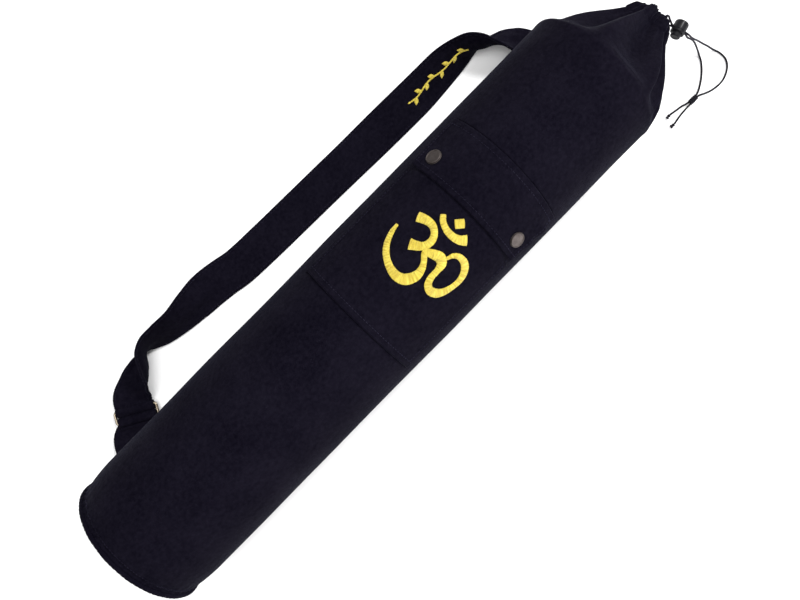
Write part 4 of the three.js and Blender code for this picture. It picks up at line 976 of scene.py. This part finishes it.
pocket_grid = panel_grid(POCKET_FOOT, POCKET_FOOT + POCKET_LENGTH, pocket_top,
                         lambda along, angle: on_tube(along, angle, TUBE_RADIUS + GAP))
pocket = new_piece("pocket_cloth", [(pocket_grid, False, True)], BAG_CLOTH,
                   ["pocket_panel"], sharp=180)
flap_grid = panel_grid(FLAP_HEM, FLAP_HEM + FLAP_LENGTH, flap_top, flap_under)
flap = new_piece("flap_cloth", [(flap_grid, False, True)], BAG_CLOTH,
                 ["pocket_flap"], sharp=180)

# Press studs: a dished cap with a rolled rim
CAP_PROFILE = [
    (0, 0), (SNAP_RADIUS - 0.6, 0), (SNAP_RADIUS - 0.15, 0.25), (SNAP_RADIUS, 0.7),
    (SNAP_RADIUS - 0.05, SNAP_HEIGHT - 0.75), (SNAP_RADIUS - 0.3, SNAP_HEIGHT - 0.25),
    (SNAP_RADIUS - 0.75, SNAP_HEIGHT), (SNAP_RADIUS - 1.15, SNAP_HEIGHT - 0.12),
    (SNAP_RADIUS - 1.4, SNAP_HEIGHT - 0.4), (SNAP_RADIUS - 2.0, SNAP_HEIGHT - 0.36),
    (SNAP_RADIUS * 0.4, SNAP_HEIGHT - 0.22), (0, SNAP_HEIGHT - 0.18),
]
for name, side in (("left", -1), ("right", 1)):
    turn = PANEL_TURN + side * SNAP_ANGLE
    foot = on_tube(FLAP_HEM + SNAP_FROM_HEM, turn, FLAP_RADIUS + GAP)
    out = unit(on_tube(0, turn, 1.0) - on_tube(0, turn, 0.0))
    fine_cap = between(CAP_PROFILE, np.linspace(0, 1, 45))
    fine_cap[[0, -1], 0] = 0
    new_piece(f"stud_{name}", [(turned_grid(np.maximum(fine_cap, 0), 72, foot, out, np.array([1.0, 0, 0])),
                                False, True)],
              STUD_METAL, [f"snap_cap_{name}"], sharp=60)


# Raised satin stitch

def satin_grid(rows, surface, low):
    """A sewn stroke: its middle line and width follow the table's rows smoothly, its section stands
    STITCH_HEIGHT * sqrt(1 - c^2) over the cloth at share c of the half width, and each thread's ends
    reach a little more or less far."""
    rows = np.asarray(rows, float)
    shares = even_shares(lambda s: between(rows, s)[:, [0, 1, 1]] * [1, 1, 0], 0.4)
    line = between(rows, shares)
    heading = np.gradient(line[:, :2], axis=0)
    heading /= np.maximum(np.linalg.norm(heading, axis=1, keepdims=True), 1e-9)
    draw = np.random.default_rng(len(shares))
    ragged = draw.uniform(-0.13, 0.13, len(shares)) + line[:, 2] / 2
    c = np.linspace(-1, 1, 11)[None]
    u = line[:, :1] - heading[:, 1:] * ragged[:, None] * c
    v = line[:, 1:2] + heading[:, :1] * ragged[:, None] * c
    rise = 0.25 + 0.75 * np.sqrt(np.maximum(1 - c**2, 0)) + draw.uniform(-0.04, 0.04, (len(shares), 1))
    return cloth_sheet(surface(u, v, low + STITCH_HEIGHT * rise), surface(u, v, low + 0 * rise))


SIGN_MIDDLE = POCKET_FOOT + SIGN_FROM_FOOT


def on_pocket(round_it, along, height):
    """A place on the pocket at lengths round and along from the sign's middle, and a height over it."""
    angle = PANEL_TURN + np.degrees((SIGN_ASIDE + round_it) / POCKET_RADIUS)
    cloth = pocket_height(SIGN_MIDDLE + along, angle)
    return on_tube(SIGN_MIDDLE + along, angle, TUBE_RADIUS + cloth + height)


for name, strokes in SIGN_STROKES.items():
    sized = [np.array(rows) * SIGN_SIZE / 100 for rows in strokes]
    parts = [(satin_grid(rows, on_pocket, 0.05 + 0.12 * k), False, True) for k, rows in enumerate(sized)]
    new_piece(name, parts, SATIN, [SIGN_NODES[name]])


# Strap, tab and ring

HALF_LENGTH = BAG_LENGTH / 2
RING_TO_BAG = np.array([math.sin(RING_TURN), -math.cos(RING_TURN), 0])
RING_AXIS = np.array([math.cos(RING_TURN), math.sin(RING_TURN), 0])
BAR_OFFSET = RING_WIDTH / 2 - WIRE_RADIUS


def bar_middle(side):
    """Middle of the ring's long bar on one side; the strap's own bar lies away from the bag."""
    return RING_PLACE + RING_TO_BAG * side * BAR_OFFSET


def strap_row(x, y, roll, lift):
    """A row of a band's path: it lies on the floor at this roll, lifted by a share of its width."""
    tilt = math.radians(roll)
    rise = abs(math.sin(tilt)) * STRAP_WIDTH / 2 + abs(math.cos(tilt)) * STRAP_CLOTH / 2
    return (x, y, rise + GAP + lift * STRAP_WIDTH, roll)


def seam_row(along, share, roll):
    """A row of a band's path at the tube's seam, at a share of the tube's radius."""
    return (*on_tube(along, SEAM_ANGLE, TUBE_RADIUS * share), roll)


def before_eye(side, distance, roll):
    """A row of a band's path at a distance from the ring's bar on one side."""
    return (*(bar_middle(side) + RING_TO_BAG * side * distance), roll)


EYE_RUN = 2.5 * EYE_RADIUS
EYE_SLACK = 2.5
STRAP_END = HALF_LENGTH * (1 + STRAP_LIE[0][0]) + 4
STRAP_PATH = [
    seam_row(STRAP_END, SEWN_SHARE, 180),
    seam_row(STRAP_END, SEAM_SHARE, 180),
    *(strap_row(a * HALF_LENGTH, o * TUBE_RADIUS, roll, lift) for a, o, roll, lift in STRAP_LIE),
    before_eye(-1, EYE_RUN, 180),
    before_eye(-1, 0, 180),
]
TAB_SEAM = seam_row(TAB_ALONG, SEAM_SHARE, 0)
TAB_PATH = [
    before_eye(1, 0, 0),
    before_eye(1, EYE_RUN, 0),
    strap_row(TAB_SEAM[0] + (RING_PLACE[0] - TAB_SEAM[0]) * 0.2,
              TAB_SEAM[1] + (RING_PLACE[1] - TAB_SEAM[1]) * 0.6, 0, 0.05),
    TAB_SEAM,
    seam_row(TAB_ALONG, SEWN_SHARE, 0),
]


def on_band(path, share, across, height):
    """A place on a band: the path's middle plus `across` along its width and `height` off its face; the
    width is the level line square to the heading, turned about the heading by the roll."""
    share = np.asarray(share, float)
    step = 0.002
    row = between(path, share)
    heading = unit(between(path, np.minimum(share + step, 1))[..., :3]
                   - between(path, np.maximum(share - step, 0))[..., :3])
    level = unit(np.stack([heading[..., 1], -heading[..., 0], 0 * heading[..., 0]], -1))
    upright = np.cross(level, heading)
    roll = np.radians(row[..., 3])[..., None]
    side = level * np.cos(roll) + upright * np.sin(roll)
    face = upright * np.cos(roll) - level * np.sin(roll)
    return row[..., :3] + side * np.asarray(across)[..., None] + face * np.asarray(height)[..., None]


def stop_share(path, bar, distance, from_start):
    """Where the path comes within a distance of the ring's bar."""
    fine = np.linspace(0, 1, 4001)
    far = np.linalg.norm(between(path, fine)[:, :3] - bar, axis=1) > distance
    return fine[far][0] if from_start else fine[far][-1]


LOW_TWIST = (2 + 23.4) / (len(STRAP_PATH) - 1)
HIGH_TWIST = (2 + 4) / (len(STRAP_PATH) - 1)


def band_height(path, share, across):
    """Half thickness and lie of a band's cloth in mm: folded sewn edges a little thicker, grooves under
    the edge stitches, and, where it twists, folds along it that follow the roll's rate."""
    edge = BAND_WIDTH / 2 - np.abs(across)
    step = 0.004
    rate = np.abs(between(path, np.minimum(share + step, 1))[..., 3]
                  - between(path, np.maximum(share - step, 0))[..., 3]) / (2 * step)
    twist = np.clip(rate / 900, 0, 1) ** 1.5
    c = across / BAND_WIDTH
    folds = twist * (1.3 * np.sin(2 * np.pi * (1.4 * c + 0.15)) + 0.6 * np.sin(2 * np.pi * (3.1 * c + 0.4)))
    place = on_band(path, share, across, 0 * across)
    bow = 9 * bump_at(share, LOW_TWIST, 0.046) + 6 * bump_at(share, HIGH_TWIST, 0.05)
    bow = bow * np.cos(np.pi * np.clip(c, -0.5, 0.5)) * (len(path) == len(STRAP_PATH))
    slack = bow + 0.35 * waves(place, 55, 23) + 0.12 * waves(place, 16, 29)
    half = 1.12 + 0.22 * (1 - blend01(edge, 3.6, 5.2)) - 0.28 * bump_at(edge, 3.0, 0.55)
    return half, (folds + slack) * blend01(edge, 0, 9)


def band_side(path, share, across, side):
    """One face of a band: half the thickness off its middle, on the side given, plus the cloth's lie."""
    half, lie = band_height(path, share, across)
    return on_band(path, share, across, side * half + lie)


def band_grid(path, start, end, spacing):
    """A band between two shares of its path: rows at an even spacing, columns closer at the edges."""
    shares = even_shares(lambda s: between(path, s)[:, :3], spacing)
    shares = shares[(shares > start) & (shares < end)]
    shares = np.concatenate([[start], shares, [end]])[:, None]
    width = BAND_WIDTH / 2 - 1.1
    across = np.concatenate([np.linspace(-width, -width + 6, 9)[:-1], np.linspace(-width + 6, width - 6, 20),
                             np.linspace(width - 6, width, 9)[1:]])[None]
    shares, across = np.broadcast_arrays(shares, across)
    return cloth_sheet(band_side(path, shares, across, 1), band_side(path, shares, across, -1))


def eye_grid(side):
    """The strap's end looped round the ring's bar: a ring section from the wire's gap out to EYE_RADIUS,
    with rounded ends, carried round the bar."""
    half = BAND_WIDTH / 2 - GAP
    inner, outer = WIRE_RADIUS + GAP, EYE_RADIUS
    across = np.linspace(-1, 1, 30)
    top = [(outer - 0.015 * (1 + math.cos(9 * c)) - 0.3 * max(0, abs(c) - 0.93) / 0.07, c * half)
           for c in across]
    profile = top + [(inner + 0.4, half), (inner, half - 0.5), (inner, -half + 0.5), (inner + 0.4, -half)]
    grid = turned_grid(profile, 48, bar_middle(side), RING_AXIS, np.array([0, 0, 1.0]))
    inward = -side * RING_TO_BAG
    reach = (grid - bar_middle(side)) @ inward / outer
    grid[:len(top)] += (EYE_SLACK * np.maximum(reach[:len(top)], 0) ** 1.5)[..., None] * inward
    return grid


strap_stop = stop_share(STRAP_PATH, bar_middle(-1), 3.0, False)
tab_start = stop_share(TAB_PATH, bar_middle(1), 3.0, True)
new_piece("strap_cloth", [(band_grid(STRAP_PATH, 0.0, strap_stop, 1.6), False, True),
                          (eye_grid(-1), True, True)], BAG_CLOTH, ["strap_band"], sharp=180)
new_piece("tab_cloth", [(band_grid(TAB_PATH, tab_start, 1.0, 1.2), False, True),
                        (eye_grid(1), True, True)], BAG_CLOTH, ["strap_tab"], sharp=180)


def ring_grid():
    """Wire round a rectangle with round corners: 12 steps to each corner, and a round section."""
    bend = RING_CORNER - WIRE_RADIUS
    reach = np.array([RING_LENGTH / 2 - RING_CORNER, RING_WIDTH / 2 - RING_CORNER])
    line = []
    for k, (side_x, side_y) in enumerate(((1, 1), (-1, 1), (-1, -1), (1, -1))):
        turn = np.radians(90 * k + np.linspace(0, 90, 12))
        line.append(np.stack([side_x * reach[0] + bend * np.cos(turn),
                              side_y * reach[1] + bend * np.sin(turn)], -1))
    line = np.concatenate(line)
    heading = unit(np.roll(line, -1, 0) - np.roll(line, 1, 0))
    out = np.stack([heading[:, 1], -heading[:, 0]], -1)
    turn = np.linspace(0, 2 * np.pi, 24, endpoint=False)[None]
    flat = line[:, None] + out[:, None] * (WIRE_RADIUS * np.cos(turn))[..., None]
    rise = np.broadcast_to(WIRE_RADIUS * np.sin(turn), flat.shape[:2])
    across = np.array([-math.sin(RING_TURN), math.cos(RING_TURN), 0])
    return (RING_PLACE + flat[..., :1] * RING_AXIS + flat[..., 1:] * across
            + rise[..., None] * np.array([0, 0, 1.0]))


new_piece("strap_ring_wire", [(ring_grid(), True, True)], RING_METAL, ["strap_ring"], sharp=180)


# Garland on the strap

strap_fine = np.linspace(0, 1, 3001)
strap_run = np.concatenate([[0], np.cumsum(np.linalg.norm(
    np.diff(between(STRAP_PATH, strap_fine)[:, :3], axis=0), axis=1))])


def on_strap(u, v, height):
    """A place on the strap's upper face at a length from the garland's start and a place across."""
    share = np.interp(GARLAND_FROM_SEAM + u, strap_run, strap_fine)
    half, lie = band_height(STRAP_PATH, share, np.broadcast_to(v, share.shape))
    return on_band(STRAP_PATH, share, v, half + lie + height)


def stem_at(share):
    """How far the stem swings across the strap: two whole sine waves along the garland."""
    return 0.12 * GARLAND_WIDTH * np.sin(share * 4 * np.pi)


garland = [[(s * GARLAND_LENGTH, stem_at(s), 0.13 * GARLAND_WIDTH) for s in np.linspace(0, 1, 25)]]
LEAF = [(0, 0.2), (0.25, 0.75), (0.5, 1), (0.75, 0.7), (1, 0.08)]
LEAF_AT = [(0.05, 1), (0.17, -1), (0.29, 1), (0.41, -1), (0.53, 1), (0.65, -1), (0.77, 1), (0.87, -1)]
lean = math.radians(42)
for at, side in LEAF_AT:
    garland.append([(at * GARLAND_LENGTH + reach * 0.62 * GARLAND_WIDTH * math.cos(lean),
                     stem_at(at) + side * reach * 0.62 * GARLAND_WIDTH * math.sin(lean),
                     wide * 0.34 * GARLAND_WIDTH) for reach, wide in LEAF])
new_piece("strap_garland", [(satin_grid(rows, on_strap, 0.05 + 0.05 * min(k, 1)), False, True)
                            for k, rows in enumerate(garland)], SATIN, ["strap_embroidery"])


# Seam stitches

def stitch_grids(place, start, end, along_step=3.4, length=2.3, thick=0.34):
    """Sewing stitches from one end of a line to the other: each is a small capsule that follows the
    surface, sunk by half its thickness. place(s, h) gives points at lengths s and heights h."""
    middle = np.arange(start + along_step / 2, end, along_step)
    t = np.linspace(-1, 1, 7)
    s = middle[:, None] + t[None] * length / 2
    arch = 0.12 + 0.22 * (1 - t[None] ** 2) + 0 * s
    line = place(s, arch)
    normal = unit(place(s, arch + 0.2) - line)
    heading = unit(np.gradient(line, axis=1))
    side = unit(np.cross(heading, normal))
    radius = thick * np.sqrt(np.maximum(1 - t**4, 0))[None, :, None, None]
    turn = np.linspace(0, 2 * np.pi, 6, endpoint=False)[None, None, :, None]
    ring = line[:, :, None] + radius * (np.cos(turn) * side[:, :, None] + np.sin(turn) * normal[:, :, None])
    return [(grid, False, True) for grid in ring]


def off_panel(surface, along, angle, height):
    """A place at a height over a panel's outer side, straight out from the tube's axis."""
    base = surface(along, angle)
    return base + unit(base - on_tube(along, angle, 0 * angle)) * height[..., None]


def across_panel(surface, along):
    """A line round the tube on a panel at one place along it, by its length from the panel's middle."""
    def place(s, h):
        return off_panel(surface, along + 0 * s, PANEL_TURN + np.degrees(s / TUBE_RADIUS), h)
    return place


def along_panel(surface, away, side):
    """A line along the tube on a panel, a distance in from one of its sides."""
    def place(s, h):
        angle = PANEL_TURN + side * np.degrees((PANEL_WIDTH / 2 - away) / TUBE_RADIUS) + 0 * s
        return off_panel(surface, s, angle, h)
    return place


def on_body(along, angle, height):
    """A place at a height over the body's outer side, with all that stands on its round form."""
    radius = tube_radius(along, angle)
    return on_tube(along, angle, radius + body_relief(along, angle, on_tube(along, angle, radius)) + height)


def on_base_seam(s, h):
    """A line round the tube next to the base seam."""
    return on_body(5.0 + 0 * s, np.degrees(s / TUBE_RADIUS), h)


def on_long_seam(s, h):
    """A line along the tube beside its lengthwise seam."""
    return on_body(s, SEAM_ANGLE + math.degrees(3.4 / TUBE_RADIUS) + 0 * s, h)


def band_line(path, run, fine, across, side):
    """A line along a band at one place across it, by its length from the path's start."""
    def place(s, h):
        share = np.interp(s, run, fine)
        half, lie = band_height(path, share, across + 0 * s)
        return on_band(path, share, across + 0 * s, side * (half + h) + lie)
    return place


HALF_PANEL = PANEL_WIDTH / 2 - 3
panel_stitches = (
    stitch_grids(across_panel(pocket_top, POCKET_FOOT + POCKET_HEM - SEAM_IN), -HALF_PANEL, HALF_PANEL)
    + stitch_grids(across_panel(flap_top, FLAP_HEM + FLAP_FOLD - SEAM_IN), -HALF_PANEL, HALF_PANEL)
    + stitch_grids(across_panel(flap_top, FLAP_HEM + FLAP_LENGTH - FLAP_TOP_SEAM), -HALF_PANEL, HALF_PANEL)
)
for side in (-1, 1):
    panel_stitches += stitch_grids(along_panel(pocket_top, POCKET_HEM - SEAM_IN, side), POCKET_FOOT + 6,
                                   FLAP_HEM - 2)
    panel_stitches += stitch_grids(along_panel(flap_top, FLAP_FOLD - SEAM_IN, side), FLAP_HEM + 5,
                                   FLAP_HEM + FLAP_LENGTH - 6)
new_piece("pocket_stitches", panel_stitches, SEAM_THREAD, sharp=180)
around = 2 * math.pi * TUBE_RADIUS
new_piece("body_stitches", stitch_grids(on_base_seam, 0, around) + stitch_grids(on_long_seam, 8, 615),
          SEAM_THREAD, sharp=180)
edge_line = BAND_WIDTH / 2 - 3.0
strap_stitches = []
for side in (-1, 1):
    for across in (-edge_line, edge_line):
        strap_stitches += stitch_grids(band_line(STRAP_PATH, strap_run, strap_fine, across, side), 16,
                                       strap_run[-1] - 7, 3.8, 2.5)
new_piece("strap_stitches", strap_stitches, SEAM_THREAD, sharp=180)


# Cord lock

LOCK_AXIS = np.array([math.cos(LOCK_TURN), math.sin(LOCK_TURN), 0])
LOCK_ACROSS = np.array([-math.sin(LOCK_TURN), math.cos(LOCK_TURN), 0])
OPEN_END = LOCK_PLACE - LOCK_AXIS * LOCK_HOLE_AT
BORE = BUTTON_RADIUS + GAP
BARREL_PROFILE = [
    (0, 10.4), (BORE - 0.02, 10.4), (BORE, 10.38), (BORE, 0.3), (BORE + 0.25, 0), (LOCK_RADIUS - 0.6, 0),
    (LOCK_RADIUS - 0.2, 0.15), (LOCK_RADIUS, 0.6), (LOCK_RADIUS, 1.9), (LOCK_RADIUS - 0.35, 2.1),
    (LOCK_RADIUS - 0.35, 2.5), (LOCK_RADIUS, 2.7), (LOCK_RADIUS, LOCK_LENGTH - 1.4),
    (LOCK_RADIUS - 0.15, LOCK_LENGTH - 0.8), (LOCK_RADIUS - 0.5, LOCK_LENGTH - 0.35),
    (LOCK_RADIUS - 1.1, LOCK_LENGTH - 0.06), (LOCK_RADIUS - 1.8, LOCK_LENGTH), (1.6, LOCK_LENGTH),
    (1.4, LOCK_LENGTH - 0.3), (0, LOCK_LENGTH - 0.35),
]
BUTTON_PROFILE = [
    (0, -BUTTON_STANDS_OUT + 0.25), (BUTTON_RADIUS - 2.2, -BUTTON_STANDS_OUT + 0.12),
    (BUTTON_RADIUS - 1.3, -BUTTON_STANDS_OUT), (BUTTON_RADIUS - 0.7, -BUTTON_STANDS_OUT + 0.1),
    (BUTTON_RADIUS - 0.2, -BUTTON_STANDS_OUT + 0.45), (BUTTON_RADIUS, -BUTTON_STANDS_OUT + 1.0),
    (BUTTON_RADIUS, 7.1), (BUTTON_RADIUS - 0.1, 7.2), (0, 7.2),
]


def cross_hole(piece, start, end):
    """Cuts the strands' hole across the lock, from one distance along its axis to another: a rounded
    slot through the piece, made with a box that is bevelled and taken away."""
    half = np.array([(end - start) / 2, 2 * LOCK_RADIUS, STRANDS_APART / 2 + CORD_RADIUS + HOLE_SPARE])
    middle = OPEN_END + LOCK_AXIS * (start + end) / 2
    axes = np.stack([LOCK_AXIS, LOCK_ACROSS, [0, 0, 1.0]])
    signs = np.array([(x, y, z) for x in (-1, 1) for y in (-1, 1) for z in (-1, 1)])
    mesh = bpy.data.meshes.new("slot")
    mesh.from_pydata((middle + (signs * half) @ axes) * MM, [],
                     [(0, 1, 3, 2), (4, 6, 7, 5), (0, 4, 5, 1), (2, 3, 7, 6), (0, 2, 6, 4), (1, 5, 7, 3)])
    cutter = bpy.data.objects.new("slot", mesh)
    bpy.context.scene.collection.objects.link(cutter)
    rounded = cutter.modifiers.new("round", "BEVEL")
    rounded.width, rounded.segments = 0.8 * MM, 4
    cut = piece.modifiers.new("cut", "BOOLEAN")
    cut.object, cut.operation, cut.solver = cutter, "DIFFERENCE", "EXACT"
    bpy.context.view_layer.update()
    done = bpy.data.meshes.new_from_object(piece.evaluated_get(bpy.context.evaluated_depsgraph_get()))
    piece.modifiers.clear()
    piece.data = done
    bpy.data.objects.remove(cutter)
    done.set_sharp_from_angle(angle=math.radians(40))


barrel = new_piece("lock_barrel", [(turned_grid(BARREL_PROFILE, 64, OPEN_END, LOCK_AXIS,
                                                np.array([0, 0, 1.0])), False, True)],
                   LOCK_PLASTIC, ["cord_lock_body"], sharp=40)
button = new_piece("lock_button_cap", [(turned_grid(BUTTON_PROFILE, 56, OPEN_END, LOCK_AXIS,
                                                    np.array([0, 0, 1.0])), False, True)],
                   LOCK_PLASTIC, ["cord_lock_button"], "lock_button", 40)
hole = CORD_RADIUS + HOLE_SPARE
cross_hole(barrel, LOCK_HOLE_AT - hole, LOCK_HOLE_AT + hole)
cross_hole(button, LOCK_HOLE_AT - hole - BUTTON_TRAVEL, LOCK_HOLE_AT + hole)


# Floor and light

def floor_and_light():
    """A plain pale floor, and soft boxes over and beside the bag."""
    mesh = bpy.data.meshes.new("floor")
    mesh.from_pydata([(-4, -4, 0), (4, -4, 0), (4, 4, 0), (-4, 4, 0)], [], [(0, 1, 2, 3)])
    floor = bpy.data.objects.new("floor", mesh)
    bpy.context.scene.collection.objects.link(floor)
    pale, _, shader, _, _ = new_material("pale floor")
    shader.inputs["Base Color"].default_value = (0.97, 0.97, 0.97, 1)
    shader.inputs["Roughness"].default_value = 0.9
    mesh.materials.append(pale)
    lights = [
        ("key box", (1.7, 0.2, 1.8), (0, 0, 0.05), 0.5, 46.0),
        ("top box", (-0.45, 0.1, 2.0), (0, 0, 0), 1.6, 30.0),
        ("side box", (0.3, -1.3, 0.45), (0.1, 0, 0.05), 1.0, 15.0),
    ]
    for name, place, aim, size, power in lights:
        light = bpy.data.lights.new(name, "AREA")
        light.energy, light.size = power, size
        lamp = bpy.data.objects.new(name, light)
        bpy.context.scene.collection.objects.link(lamp)
        away = np.array(aim) - np.array(place)
        yaw = math.atan2(away[1], away[0]) - math.pi / 2
        pitch = math.atan2(np.hypot(away[0], away[1]), -away[2])
        lamp.location = place
        lamp.rotation_euler = (pitch, 0, yaw)
    world = bpy.data.worlds.new("studio")
    world.use_nodes = True
    world.node_tree.nodes["Background"].inputs["Color"].default_value = (1, 1, 1, 1)
    world.node_tree.nodes["Background"].inputs["Strength"].default_value = 0.42
    bpy.context.scene.world = world
    bpy.context.scene.view_settings.view_transform = "Standard"


floor_and_light()
